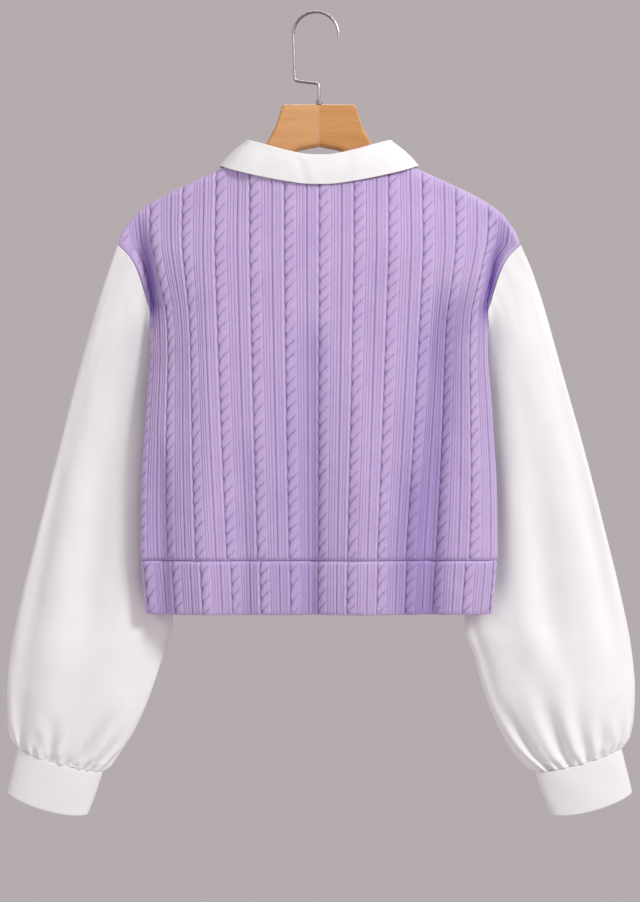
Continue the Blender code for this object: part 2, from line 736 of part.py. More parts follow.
def leaf_point(q, v):
    """The leaf rises from the stand, folds over (v below LEAF_FOLD) and falls to its edge."""
    fold, up, out = fold_frame(q)
    if v <= LEAF_FOLD:
        angle = math.pi * v / LEAF_FOLD
        rise = LEAF_DROP * math.sin(angle) - LEAF_DROP
        return fold + out * (LEAF_SPREAD / 2) * (1 - math.cos(angle)) + up * rise
    share = (v - LEAF_FOLD) / (1 - LEAF_FOLD)
    start = fold + out * LEAF_SPREAD - up * LEAF_DROP
    bulge = LEAF_BULGE * math.sin(math.pi * share)
    return start.lerp(on_line(leaf_edge, q), share) + (out + up * 0.5) * bulge


LEAF_FOLD = 0.2
LEAF_ROWS = (0.0, 0.07, 0.13, 0.2, 0.45, 0.72, 1.0)
STAND_ROWS = (0.0, 0.5, 1.0)


def collar_wall(name, surface, rows):
    """A strip of shirt cloth round the neck, open at the middle of the front."""
    skins = ([], [])
    for number in range(-COLLAR_STEPS, COLLAR_STEPS + 1):
        q = number / COLLAR_STEPS
        near = min(max(q, -0.985), 0.985)
        columns = ([], [])
        for v in rows:
            near_v = min(max(v, 0.01), 0.99)
            along = surface(near + 0.01, v) - surface(near - 0.01, v)
            below = surface(q, near_v + 0.01) - surface(q, near_v - 0.01)
            normal = along.cross(below).normalized()
            for column, half in zip(columns, (SHIRT_WALL / 2, -SHIRT_WALL / 2)):
                column.append((v, surface(q, v) + normal * half))
        for skin, column in zip(skins, columns):
            skin.append((q, column))
    build_wall(name, *skins, "shirt_cloth")


# ---------------------------------------------------------------------------------------------
# The hanger
# ---------------------------------------------------------------------------------------------
# The arms' top: a block at the neck, then the slope that the shoulder seams lie on.
BLOCK_TOP = table(
    "x z",
    (0.0000, -0.1002),
    (0.0380, -0.1002),
    (0.0412, -0.1030),
    (0.0462, -0.1200),
    (0.0573, -0.1418),
    (0.0650, -0.1530),
    (0.0720, -0.1600),
    (0.0800, -0.1625),
    (0.0860, -0.1632),
)
ARM_BOTTOM = table(
    "x z",
    (0.0000, -0.1470),
    (0.0215, -0.1512),
    (0.0450, -0.1640),
    (0.0800, -0.1860),
    (0.1200, -0.2050),
    (0.1550, -0.2190),
    (0.1820, -0.2290),
)
ARM_SECTIONS = (
    (0.0002, 1.0),
    (0.0215, 1.0),
    (0.0380, 1.0),
    (0.0412, 1.0),
    (0.0470, 1.0),
    (0.0573, 1.0),
    (0.0670, 1.0),
    (0.0780, 1.0),
    (0.1000, 1.0),
    (0.1350, 1.0),
    (0.1620, 1.0),
    (0.1750, 0.94),
    (0.1802, 0.74),
    (0.1820, 0.40),
)
block_top = curve(BLOCK_TOP, "x", "z")
arm_bottom = curve(ARM_BOTTOM, "x", "z")


def arm_top(x):
    if x < NECK_X:
        return float(block_top(x))
    slope = (float(shoulder_z(x + 0.002)) - float(shoulder_z(x))) / 0.002
    return float(shoulder_z(x)) - (KNIT_WALL / 2 + SEAT_GAP) * math.hypot(1, slope) - 0.0004


def build_arm(name, side):
    """One arm, lofted through sections that are straight at the sides and round at top and foot."""
    mesh = bmesh.new()
    rings = []
    for x, fullness in ARM_SECTIONS:
        radius = ARM_HALF_THICK * fullness
        top, bottom = arm_top(x), float(arm_bottom(x))
        middle, rise = (top + bottom) / 2, (top - bottom) / 2 * fullness
        ring = []
        for end in (1, -1):
            for step in range(7):
                angle = math.pi * step / 6
                y = float(arm_y(x)) + end * radius * math.cos(angle)
                z = middle + end * (rise - radius + radius * math.sin(angle))
                ring.append(mesh.verts.new((side * x, y, z)))
        rings.append(ring)
    for ring, following in zip(rings, rings[1:]):
        for here in range(len(ring)):
            after = (here + 1) % len(ring)
            mesh.faces.new((ring[here], ring[after], following[after], following[here]))
    mesh.faces.new(rings[0])
    mesh.faces.new(rings[-1])
    bmesh.ops.recalc_face_normals(mesh, faces=mesh.faces)
    add_object(name, mesh, "wood_light" if side < 0 else "wood_dark", "middle")


def hook_path():
    """The wire's middle: round the crown, down the back of the hook, across and down the stem."""
    centre = Vector((0, 0, WIRE_RADIUS - CROWN_RADIUS))
    path = []
    for step in range(14):
        angle = math.radians(-7 + 187 * step / 13)
        path.append(centre + CROWN_RADIUS * Vector((math.cos(angle), 0, math.sin(angle))))
    corners = [(-0.0232, -0.0745), (MIDDLE_X, -0.0775)]
    stem_foot = Vector((MIDDLE_X, 0, float(block_top(0.0)) + 0.0003))
    stops = [path[-1]] + [Vector((x, 0, z)) for x, z in corners] + [stem_foot]
    for before, corner, after in zip(stops, stops[1:], stops[2:]):
        arrive = (before - corner).normalized() * STEM_BEND
        leave = (after - corner).normalized() * STEM_BEND
        for step in range(5):
            t = step / 4
            path.append(corner + arrive * (1 - t) ** 2 + leave * t**2)
    return path + [stem_foot]


def build_hook():
    data = bpy.data.curves.new("hanger_hook", "CURVE")
    data.dimensions = "3D"
    data.bevel_depth = WIRE_RADIUS
    data.bevel_resolution = 2
    data.use_fill_caps = True
    path = hook_path()
    spline = data.splines.new("POLY")
    spline.points.add(len(path) - 1)
    for point, place in zip(spline.points, path):
        point.co = (*place, 1)
    data.materials.append(MATERIALS["metal"])
    PARTS.objects.link(bpy.data.objects.new("hanger_hook", data))


def build_ferrule():
    """A turned ring round the foot of the stem. Its profile runs down its outer side."""
    bore, rim, height, chamfer = WIRE_RADIUS + 0.0003, 0.0029, 0.0050, 0.0004
    foot = 0.0003
    profile = [
        (bore, height),
        (rim - chamfer, height),
        (rim, height - chamfer),
        (rim, foot),
        (bore, foot),
    ]
    mesh = bmesh.new()
    corners = [mesh.verts.new((r, 0, z)) for r, z in profile]
    for first, second in zip(corners, corners[1:] + corners[:1]):
        mesh.edges.new((first, second))
    item = add_object("hanger_ferrule", mesh, "metal", "middle")
    item.location.z = float(block_top(0.0))
    turn = item.modifiers.new("turn", "SCREW")
    turn.steps = turn.render_steps = 14
    turn.use_merge_vertices = True
    turn.merge_threshold = 0.00001


# ---------------------------------------------------------------------------------------------
# The scene
# ---------------------------------------------------------------------------------------------
def clear_scene():
    for item in list(bpy.data.objects):
        bpy.data.objects.remove(item, do_unlink=True)


def make_material(name, color, roughness, metallic=0.0):
    material = bpy.data.materials.new(name)
    material.use_nodes = True
    shader = material.node_tree.nodes["Principled BSDF"]
    shader.inputs["Base Color"].default_value = (*color, 1)
    shader.inputs["Roughness"].default_value = roughness
    shader.inputs["Metallic"].default_value = metallic
    return material


def add_object(name, mesh, material, parent):
    data = bpy.data.meshes.new(name)
    mesh.to_mesh(data)
    mesh.free()
    data.materials.append(MATERIALS[material])
    data.shade_smooth()
    data.set_sharp_from_angle(angle=math.radians(50))
    item = bpy.data.objects.new(name, data)
    PARTS.objects.link(item)
    item.parent = bpy.data.objects[parent]
    return item


clear_scene()
PARTS = bpy.data.collections.new("cable_knit_crop_top")
bpy.context.scene.collection.children.link(PARTS)
MIDDLE = bpy.data.objects.new("middle", None)
MIDDLE.location.x = MIDDLE_X
PARTS.objects.link(MIDDLE)
MATERIALS = {
    "knit": make_material("knit", (0.45, 0.32, 0.62), 0.85),
    "shirt_cloth": make_material("shirt_cloth", (0.86, 0.85, 0.84), 0.8),
    "wood_light": make_material("wood_light", (0.62, 0.34, 0.17), 0.45),
    "wood_dark": make_material("wood_dark", (0.55, 0.28, 0.13), 0.45),
    "metal": make_material("metal", (0.7, 0.7, 0.7), 0.2, 1.0),
}

for panel_face in FACING:
    body = Panel(panel_face, PANEL_HALF, GRAIN_HALF, HEM_SEAM_Z)
    knit_wall(panel_face + "_panel", body, knit_columns(PANEL_HALF, KNIT_REPEAT, FIRST_CABLE))
    band = Panel(panel_face, BAND_HALF, 0.0, HEM_Z, HEM_SEAM_Z - SEAM_GAP)
    knit_wall("hem_band_" + panel_face, band, knit_columns(BAND_HALF, BAND_REPEAT, BAND_FIRST_CABLE))

for side_name, x_side in (("left", -1), ("right", 1)):
    gather_depth = curve(GATHERS, "t", "depth")
    sleeve = Tube(SLEEVE, x_side, True)
    tube_wall(
        "sleeve_" + side_name, sleeve, SLEEVE_RINGS, ARMHOLE_POINTS, SHIRT_WALL, "shirt_cloth", gather_depth
    )
    cuff = Tube(CUFF, x_side, False)
    tube_wall("cuff_" + side_name, cuff, CUFF["t"], CUFF_POINTS, CUFF_WALL, "shirt_cloth")
    build_arm("hanger_arm_" + side_name, x_side)

collar_wall("collar_stand", stand_point, STAND_ROWS)
collar_wall("collar_leaf", leaf_point, LEAF_ROWS)
build_hook()
build_ferrule()
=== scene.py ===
# %% [markdown]
# # A cable-knit crop top with a shirt collar, on its hanger
#
# The top hangs with its back to us. Its body is a lavender knit with cables and ribs, its collar,
# sleeves and cuffs are white shirt cloth, and a wooden hanger with a wire hook holds it.
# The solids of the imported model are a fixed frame. Each cloth piece is made again here, on the
# same form and much finer, and the hanger's solids get their finish.

# %% Load the model
import json
import math

import bmesh
import bpy
import numpy as np
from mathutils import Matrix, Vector

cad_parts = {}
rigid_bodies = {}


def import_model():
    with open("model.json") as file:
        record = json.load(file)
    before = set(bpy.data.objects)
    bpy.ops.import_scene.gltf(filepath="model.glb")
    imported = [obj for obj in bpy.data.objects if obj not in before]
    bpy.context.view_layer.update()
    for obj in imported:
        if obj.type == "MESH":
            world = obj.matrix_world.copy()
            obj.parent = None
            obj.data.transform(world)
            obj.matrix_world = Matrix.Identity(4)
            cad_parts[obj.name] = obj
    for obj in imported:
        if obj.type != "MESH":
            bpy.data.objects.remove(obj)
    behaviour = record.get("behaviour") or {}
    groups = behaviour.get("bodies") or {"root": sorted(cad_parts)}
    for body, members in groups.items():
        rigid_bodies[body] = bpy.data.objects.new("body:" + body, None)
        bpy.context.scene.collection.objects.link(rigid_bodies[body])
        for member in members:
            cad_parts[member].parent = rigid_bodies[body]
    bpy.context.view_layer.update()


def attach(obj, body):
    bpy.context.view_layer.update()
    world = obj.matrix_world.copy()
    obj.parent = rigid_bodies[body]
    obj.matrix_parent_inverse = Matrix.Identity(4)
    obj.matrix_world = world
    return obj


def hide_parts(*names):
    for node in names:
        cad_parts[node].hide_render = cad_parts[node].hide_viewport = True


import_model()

# %% [markdown]
# ## Camera and light
#
# The photograph was taken level, straight at the back, from a few metres away. One pixel of it is
# 1.1 mm of the garment, so the height of the picture gives the lens. Large soft lamps stand in for
# a studio's: the main one is high on the right, which draws the small shadows left of each cable.

# %% Camera
PICTURE_WIDTH, PICTURE_HEIGHT = 640, 902
METRES_PER_PIXEL = 0.0011
CAMERA_X, CAMERA_DISTANCE, CAMERA_Z = 0.0044, 2.6, -0.4814
SENSOR_HEIGHT = 24.0

camera_data = bpy.data.cameras.new("camera")
camera_data.sensor_fit = "VERTICAL"
camera_data.sensor_height = SENSOR_HEIGHT
camera_data.lens = SENSOR_HEIGHT * CAMERA_DISTANCE / (PICTURE_HEIGHT * METRES_PER_PIXEL)
camera = bpy.data.objects.new("camera", camera_data)
camera.location = (CAMERA_X, -CAMERA_DISTANCE, CAMERA_Z)
camera.rotation_euler = (math.radians(90), 0, 0)
bpy.context.scene.collection.objects.link(camera)
bpy.context.scene.camera = camera
print("lens:", round(camera_data.lens, 1), "mm for", PICTURE_WIDTH, "by", PICTURE_HEIGHT, "pixels")


# %% Lamps, background and floor
def soft_lamp(name, place, size, power, color=(1, 1, 1), target=(0, 0, -0.45)):
    lamp = bpy.data.lights.new(name, "AREA")
    lamp.shape = "DISK"
    lamp.size, lamp.energy, lamp.color = size, power, color
    item = bpy.data.objects.new(name, lamp)
    item.location = place
    item.rotation_euler = (Vector(target) - Vector(place)).to_track_quat("-Z", "Y").to_euler()
    bpy.context.scene.collection.objects.link(item)


soft_lamp("main_lamp", (2.7, -2.1, 1.6), 0.9, 110)
soft_lamp("fill_lamp", (-1.8, -2.8, 0.4), 2.0, 28)
soft_lamp("back_lamp", (0.5, 2.6, 1.4), 2.0, 60)

WALL_GREY, FLOOR_GREY = (0.46, 0.41, 0.42, 1), (0.50, 0.45, 0.46, 1)
world = bpy.data.worlds.new("studio")
bpy.context.scene.world = world
world.use_nodes = True
background = world.node_tree.nodes["Background"]
background.inputs["Color"].default_value = WALL_GREY
background.inputs["Strength"].default_value = 1.0
bpy.context.scene.view_settings.view_transform = "Standard"

FLOOR_Z, FLOOR_HALF = -1.75, 3.5
floor_mesh = bpy.data.meshes.new("floor")
floor_corners = [(x * FLOOR_HALF, y * FLOOR_HALF, FLOOR_Z) for x, y in ((-1, -1), (1, -1), (1, 1), (-1, 1))]
floor_mesh.from_pydata(floor_corners, [], [(0, 1, 2, 3)])
floor = bpy.data.objects.new("floor", floor_mesh)
bpy.context.scene.collection.objects.link(floor)
floor_paint = bpy.data.materials.new("floor_paint")
floor_paint.use_nodes = True
floor_shader = floor_paint.node_tree.nodes["Principled BSDF"]
floor_shader.inputs["Base Color"].default_value = FLOOR_GREY
floor_shader.inputs["Roughness"].default_value = 0.9
floor_mesh.materials.append(floor_paint)

# %% [markdown]
# ## The garment's form, as tables
#
# A cut garment is easiest to describe as a few smooth curves: its outline, how far it stands to the
# back and the front, and where its folds hang. Each curve is a short table, and a function draws
# it smoothly through the table's points. All lengths are in metres, and x is measured from the
# garment's middle.


# %% Tables and smooth curves
def table(names, *rows):
    values = np.array(sorted(rows), float)
    return dict(zip(names.split(), values.T))


def curve(rows, along, value):
    """A smooth function through two columns of a table, which never passes beyond its points."""
    xs, ys = rows[along], rows[value]
    steps = np.diff(xs)
    rises = np.diff(ys) / steps
    slopes = np.concatenate([rises[:1], np.zeros(len(xs) - 2), rises[-1:]])
    same_way = rises[:-1] * rises[1:] > 0
    total = np.where(same_way, rises[:-1] + rises[1:], 1.0)
    slopes[1:-1] = np.where(same_way, 2 * rises[:-1] * rises[1:] / total, 0.0)

    def at(x):
        x = np.clip(x, xs[0], xs[-1])
        i = np.clip(np.searchsorted(xs, x, side="right") - 1, 0, len(steps) - 1)
        t = (x - xs[i]) / steps[i]
        start = (2 * t**3 - 3 * t**2 + 1) * ys[i] + (t**3 - 2 * t**2 + t) * steps[i] * slopes[i]
        end = (3 * t**2 - 2 * t**3) * ys[i + 1] + (t**3 - t**2) * steps[i] * slopes[i + 1]
        return start + end

    return at


def smooth_step(t):
    t = np.clip(t, 0.0, 1.0)
    return t * t * (3 - 2 * t)


MIDDLE_X = 0.0033
KNIT_WALL, SHIRT_WALL, CUFF_WALL = 0.0018, 0.0012, 0.0018
SEAM_GAP = 0.0004
HEM_SEAM_Z, HEM_Z = -0.6013, -0.6607
NECK_X, TIP_Z, ARMPIT_Z = 0.0860, -0.2540, -0.3310
FACING = {"back": -1.0, "front": 1.0}

# %% The body's outline
SHOULDER = table(
    "x z roll",
    (0.0860, -0.1605, 0.0110),
    (0.1086, -0.1712, 0.0110),
    (0.1277, -0.1795, 0.0110),
    (0.1487, -0.1888, 0.0110),
    (0.1690, -0.1981, 0.0110),
    (0.1880, -0.2089, 0.0100),
    (0.2025, -0.2199, 0.0080),
    (0.2130, -0.2343, 0.0064),
    (0.2183, -0.2435, 0.0056),
    (0.2215, -0.2540, 0.0050),
)
NECK = {
    "back": table(
        "x z y",
        (0.0000, -0.1780, -0.0165),
        (0.0300, -0.1762, -0.0158),
        (0.0600, -0.1690, -0.0128),
        (0.0750, -0.1622, -0.0088),
        (0.0830, -0.1600, -0.0020),
        (0.0860, -0.1605, 0.0048),
    ),
    "front": table(
        "x z y",
        (0.0000, -0.2450, 0.0240),
        (0.0280, -0.2300, 0.0236),
        (0.0560, -0.2020, 0.0222),
        (0.0760, -0.1740, 0.0172),
        (0.0830, -0.1630, 0.0112),
        (0.0860, -0.1605, 0.0048),
    ),
}
PANEL_EDGE = table(
    "z x",
    (-0.2540, 0.2215),
    (-0.2654, 0.2098),
    (-0.2768, 0.2022),
    (-0.2937, 0.1955),
    (-0.3128, 0.1895),
    (-0.3310, 0.1845),
    (-0.3770, 0.1848),
    (-0.4268, 0.1886),
    (-0.4686, 0.1914),
    (-0.5122, 0.1942),
    (-0.5919, 0.1958),
    (-0.6013, 0.1952),
    (-0.6060, 0.1944),
    (-0.6607, 0.1892),
)

# %% How far the body stands to the back and the front
LENS = table(
    "z width middle_y side_y back front",
    (-0.1600, 0.2300, 0.0100, 0.0110, 0.0270, 0.0150),
    (-0.2400, 0.2080, 0.0080, 0.0110, 0.0260, 0.0160),
    (-0.2800, 0.1975, 0.0065, 0.0112, 0.0250, 0.0165),
    (-0.3100, 0.1908, 0.0056, 0.0115, 0.0240, 0.0165),
    (-0.3310, 0.1845, 0.0052, 0.0112, 0.0235, 0.0165),
    (-0.3770, 0.1848, 0.0045, 0.0080, 0.0232, 0.0167),
    (-0.4268, 0.1886, 0.0035, 0.0050, 0.0230, 0.0170),
    (-0.5122, 0.1942, 0.0025, 0.0025, 0.0225, 0.0180),
    (-0.6013, 0.1952, 0.0020, 0.0020, 0.0220, 0.0190),
    (-0.6607, 0.1892, 0.0020, 0.0020, 0.0210, 0.0180),
)
LENS_POWER = {"back": 2.6, "front": 2.1}
DRAPE_LENGTH = 0.1100
UPPER = table(
    "x back front",
    (0.0000, -0.0165, 0.0240),
    (0.0400, -0.0155, 0.0232),
    (0.0700, -0.0118, 0.0205),
    (0.0860, -0.0070, 0.0172),
    (0.1100, -0.0040, 0.0182),
    (0.1500, 0.0010, 0.0228),
    (0.1820, 0.0060, 0.0264),
    (0.2000, 0.0080, 0.0240),
    (0.2215, 0.0085, 0.0188),
)
ARMHOLE = table(
    "z back front fold_x fold_depth",
    (-0.2180, 0.0085, 0.0188, 0.2000, 0.0000),
    (-0.2350, 0.0085, 0.0188, 0.1975, 0.0030),
    (-0.2540, 0.0083, 0.0192, 0.1948, 0.0070),
    (-0.2654, 0.0080, 0.0210, 0.1932, 0.0088),
    (-0.2768, 0.0072, 0.0228, 0.1915, 0.0085),
    (-0.2937, 0.0075, 0.0232, 0.1885, 0.0055),
    (-0.3128, 0.0088, 0.0205, 0.1855, 0.0020),
    (-0.3230, 0.0090, 0.0155, 0.1835, 0.0005),
    (-0.3310, 0.0112, 0.0112, 0.1820, 0.0000),
)
ARMPIT_FADE, FLANK_REACH = 0.0200, 0.0170
HANGER_HALF, HANGER_SWEEP, SWEEP_POWER = 0.1820, 0.0162, 1.6
TIP_FALL, TIP_REACH = 0.0026, 0.0395  # the shoulder seam, from the hanger's end to the armhole

# %% The folds that hang in the body
# Each runs down from top_z to the hem, and a negative depth is a ridge. The broad ones are in the
# solids too, and the fine ones are not.
FOLD_FLANK, FOLD_GROWTH = 0.012, 1.15  # a fold fades this near the edge, and is whole before the hem
FOLDS = {
    "back": table(
        "top_x hem_x top_z depth width",
        (-0.1760, -0.1720, -0.4300, 0.0035, 0.0110),
        (-0.1310, -0.1240, -0.3300, -0.0050, 0.0220),
        (-0.0830, -0.0790, -0.4400, 0.0030, 0.0130),
        (-0.0090, -0.0090, -0.2600, 0.0075, 0.0150),
        (0.0490, 0.0470, -0.3600, -0.0045, 0.0200),
        (0.1000, 0.0900, -0.4300, 0.0030, 0.0110),
        (0.1420, 0.1180, -0.2600, 0.0080, 0.0150),
        (0.1790, 0.1760, -0.2900, -0.0025, 0.0110),
    ),
    "front": table(
        "top_x hem_x top_z depth width",
        (-0.1450, -0.1330, -0.3400, 0.0055, 0.0160),
        (-0.0950, -0.0900, -0.4200, -0.0040, 0.0210),
        (-0.0420, -0.0380, -0.3600, 0.0055, 0.0150),
        (0.0250, 0.0260, -0.4000, -0.0045, 0.0220),
        (0.0900, 0.0820, -0.3300, 0.0065, 0.0160),
        (0.1450, 0.1390, -0.4300, -0.0030, 0.0180),
    ),
}

# %% The curves through the tables
shoulder_z = curve(SHOULDER, "x", "z")
shoulder_roll = curve(SHOULDER, "x", "roll")
edge_x = curve(PANEL_EDGE, "z", "x")
lens_width = curve(LENS, "z", "width")
middle_y = curve(LENS, "z", "middle_y")
side_y = curve(LENS, "z", "side_y")
fold_x = curve(ARMHOLE, "z", "fold_x")
fold_depth = curve(ARMHOLE, "z", "fold_depth")
lens_depth = {face: curve(LENS, "z", face) for face in FACING}
upper_y = {face: curve(UPPER, "x", face) for face in FACING}
armhole_y = {face: curve(ARMHOLE, "z", face) for face in FACING}
neck_z = {face: curve(NECK[face], "x", "z") for face in FACING}
neck_y = {face: curve(NECK[face], "x", "y") for face in FACING}


def seam_y(x):
    """The shoulder seam, which lies over the hanger's arm."""
    reach = np.abs(x)
    arm = HANGER_SWEEP * (np.minimum(reach, HANGER_HALF) / HANGER_HALF) ** SWEEP_POWER
    return arm - TIP_FALL * smooth_step((reach - HANGER_HALF) / TIP_REACH)


def panel_y(face, x, z):
    """y of a panel's middle surface: a flat lens in plan, which leaves the hanger's arms above."""
    out = FACING[face]
    reach = np.abs(x)
    # Below the armpits the side seam closes the lens, so it is never wider than the panel.
    half_width = np.where(z < ARMPIT_Z, np.minimum(lens_width(z), edge_x(z)), lens_width(z))
    out_there = np.minimum(reach / half_width, 1.0)
    plane = middle_y(z) + (side_y(z) - middle_y(z)) * out_there**6
    depth = lens_depth[face](z) * np.sqrt(1 - out_there ** LENS_POWER[face])
    lens = plane + out * (SEAM_GAP / 2 + depth)
    upper = upper_y[face](reach)
    y = upper + (lens - upper) * smooth_step((shoulder_z(reach) - z) / DRAPE_LENGTH)

    open_share = smooth_step((z - ARMPIT_Z) / ARMPIT_FADE)
    floor_x = fold_x(z)
    seam_width = np.maximum(edge_x(z) - floor_x, 0.002)
    to_seam = smooth_step((reach - floor_x + FLANK_REACH) / (seam_width + FLANK_REACH))
    y = y + (armhole_y[face](z) - y) * to_seam * open_share
    if face == "back":
        side = np.where(reach < floor_x, FLANK_REACH, seam_width)
        nearness = np.clip((reach - floor_x) / side, -1, 1)
        y = y + fold_depth(z) * (1 - nearness**2) ** 2 * (open_share > 0)

    rows = FOLDS[face]
    for top_x, hem_x, top_z, deep, width in zip(*rows.values()):
        down = np.clip((top_z - z) / (top_z - HEM_Z), 0, 1)
        middle = top_x + (hem_x - top_x) * down
        grown = smooth_step(down * FOLD_GROWTH) * smooth_step((edge_x(z) - reach) / FOLD_FLANK)
        y = y - out * deep * grown * np.exp(-(((x - middle) / width) ** 2))
    return y


print("body: the hem is", round(2 * float(edge_x(HEM_Z)), 3), "m wide")

# %% [markdown]
# ## From flat cloth to the hanging panel
#
# Knit keeps its columns straight, whatever its folds do. So each point of a panel is addressed as
# on the flat cloth: across, in metres from the middle, and down, as a share of the way from the top
# edge to the bottom one. The length of cloth along each level tells where such a point hangs.

# %% Lay the cloth out, level by level
HIGHEST_Z, LOWEST_TOP_Z = -0.1500, -0.2600  # the top edge lies between them
LEVELS = np.linspace(HEM_Z, HIGHEST_Z, 300)
SHARES = np.linspace(-1, 1, 641)
CALM_ROWS = 44  # levels over which the edge is evened out for the columns that lie away from it
HEM_EASE, EASE_LENGTH = (0.09, 0.135), 0.31  # how much closer the columns come below, left and right


def lay_out(face):
    angle = np.linspace(-math.pi / 2, math.pi / 2, 801)
    xs, widths = [], []
    for z in LEVELS:
        x = edge_x(z) * np.sin(angle)
        y = panel_y(face, x, np.full_like(x, z))
        run = np.concatenate([[0], np.cumsum(np.hypot(np.diff(x), np.diff(y)))])
        run -= run[len(angle) // 2]
        wanted = np.where(SHARES < 0, -run[0], run[-1]) * SHARES
        xs.append(np.interp(wanted, run, x))
        widths.append(wanted)
    spread = np.exp(-((np.arange(-CALM_ROWS, CALM_ROWS + 1) / (CALM_ROWS / 2)) ** 2))
    padded = np.pad(np.array(widths), ((CALM_ROWS, CALM_ROWS), (0, 0)), mode="edge")
    calm = [np.convolve(column, spread / spread.sum(), "valid") for column in padded.T]
    return {"x": np.array(xs), "s": np.array(widths), "calm": np.array(calm).T}


LAYOUT = {face: lay_out(face) for face in FACING}


def look_up(grid, share, z):
    row = np.clip((z - LEVELS[0]) / (LEVELS[1] - LEVELS[0]), 0, len(LEVELS) - 1.001)
    column = np.clip((share + 1) / (SHARES[1] - SHARES[0]), 0, len(SHARES) - 1.001)
    i, j = row.astype(int), column.astype(int)
    a, b = row - i, column - j
    low = grid[i, j] * (1 - b) + grid[i, j + 1] * b
    high = grid[i + 1, j] * (1 - b) + grid[i + 1, j + 1] * b
    return low * (1 - a) + high * a


def top_edge(face, x):
    """(z, y) of a panel's top edge: its neckline, then the shoulder seam."""
    reach = np.abs(x)
    on_neck = reach < NECK_X
    z = np.where(on_neck, neck_z[face](reach), shoulder_z(reach))
    y = np.where(on_neck, neck_y[face](reach), seam_y(reach) + FACING[face] * SEAM_GAP / 2)
    return z, y


def hang_point(face, x, z):
    """A point of the middle surface, which turns over towards the seam below its top edge."""
    edge_z, edge_y = top_edge(face, x)
    below = np.clip((edge_z - z) / shoulder_roll(np.abs(x)), 0.0, 1.0)
    turned = np.sqrt(1 - (1 - below) ** 2)
    y = panel_y(face, x, z)
    return np.stack([x, edge_y + (y - edge_y) * turned, z], -1)


def hang_panel(face, across, down, half, grain_half, bottom_z, top_z=None):
    """The points of a panel's middle surface over its flat cloth, one row for each column of knit."""
    s_grid, calm_grid, x_grid = (LAYOUT[face][key] for key in ("s", "calm", "x"))

    def share_of(u, z):
        side = np.where(u < 0, -1.0, 1.0)
        drawn_in = np.where(u < 0, HEM_EASE[0], HEM_EASE[1])
        ease = 1.0 - drawn_in * np.maximum(LOWEST_TOP_Z - z, 0.0) / EASE_LENGTH
        edge, calm = np.abs(look_up(s_grid, side, z)), np.abs(look_up(calm_grid, side, z))
        straight = grain_half * ease
        fan = np.minimum((np.abs(u) - grain_half) / (half - grain_half), 1.0)
        fanned = straight + (calm - straight) * fan + (edge - calm) * fan**4
        return side * np.where(fan < 0, np.abs(u) * ease, fanned) / edge

    if top_z is None:
        low, high = np.full_like(across, LOWEST_TOP_Z), np.full_like(across, HIGHEST_Z)
        for _ in range(40):
            z = (low + high) / 2
            x = look_up(x_grid, share_of(across, z), z)
            above = top_edge(face, x)[0] > z
            low, high = np.where(above, z, low), np.where(above, high, z)
        top = low
    else:
        top = np.full_like(across, top_z)
    u = across[:, None] + 0 * down[None, :]
    z = top[:, None] + (bottom_z - top[:, None]) * down[None, :]
    x = look_up(x_grid, share_of(u, z), z)
    if top_z is not None:
        return np.stack([x, panel_y(face, x, z), z], -1)
    return hang_point(face, x, z)


print("cloth laid out over", len(LEVELS), "levels")

# %% [markdown]
# ## A wall of cloth
#
# Cloth has a thickness, and it shows at every hem. Two skins, one each side of the middle surface,
# are joined round their rims. The skins may have different numbers of points, so the outside is
# fine where the relief is and the inside stays light. Towards a rim the wall thins on a quarter
# circle, which rounds the edge of the cloth.


# %% Normals, rounded rims and areas
def unit(vectors):
    return vectors / np.maximum(np.linalg.norm(vectors, axis=-1, keepdims=True), 1e-12)


def grid_normals(points, closed=False):
    """Unit normals of a grid of points, from its neighbours."""
    if closed:
        across = np.roll(points, -1, 0) - np.roll(points, 1, 0)
    else:
        across = np.gradient(points, axis=0)
    return unit(np.cross(across, np.gradient(points, axis=1)))


def rounded(to_rim, half):
    """Half a wall's thickness at a distance from its rim."""
    share = np.clip(to_rim / half, 0, 1)
    return half * np.maximum(np.sqrt(1 - (1 - share) ** 2), 0.2)


def cloth_area(points, closed=False):
    if closed:
        points = np.concatenate([points, points[:1]])
    across, down = points[1:, :-1] - points[:-1, :-1], points[:-1, 1:] - points[:-1, :-1]
    return float(np.linalg.norm(np.cross(across, down), axis=-1).sum())


def tell(item, points, closed=False):
    area = round(cloth_area(points, closed), 4)
    print(item.name, "has", len(item.data.polygons), "faces and", area, "m2 of cloth")


# %% Build a wall from two skins
def zip_rows(first, second):
    """Triangles between two lines of (place, vertex number)."""
    faces = []
    i = j = 0
    while i < len(first) - 1 or j < len(second) - 1:
        step_first = j == len(second) - 1
        if i < len(first) - 1 and not step_first:
            step_first = first[i][0] + first[i + 1][0] <= second[j][0] + second[j + 1][0]
        if step_first:
            faces.append((first[i][1], second[j][1], first[i + 1][1]))
            i += 1
        else:
            faces.append((first[i][1], second[j][1], second[j + 1][1]))
            j += 1
    return faces


def grid_faces(columns, rows, start, closed):
    c = np.arange(columns if closed else columns - 1)[:, None]
    r = np.arange(rows - 1)[None, :]
    a, b = start + c * rows + r, start + ((c + 1) % columns) * rows + r
    return np.stack([k.reshape(-1) for k in (a, b, b + 1, a + 1)], -1).tolist()


def rim_lines(skin, start, closed):
    """The skin's rims, as lines of (place, vertex number)."""
    columns, rows = skin["points"].shape[:2]
    lines = []
    for row in (0, rows - 1):
        line = [(place, start + k * rows + row) for k, place in enumerate(skin["across"])]
        lines.append(line + [(line[-1][0] * 2 - line[-2][0], line[0][1])] if closed else line)
    for column in () if closed else (0, columns - 1):
        lines.append([(place, start + column * rows + k) for k, place in enumerate(skin["down"])])
    return lines


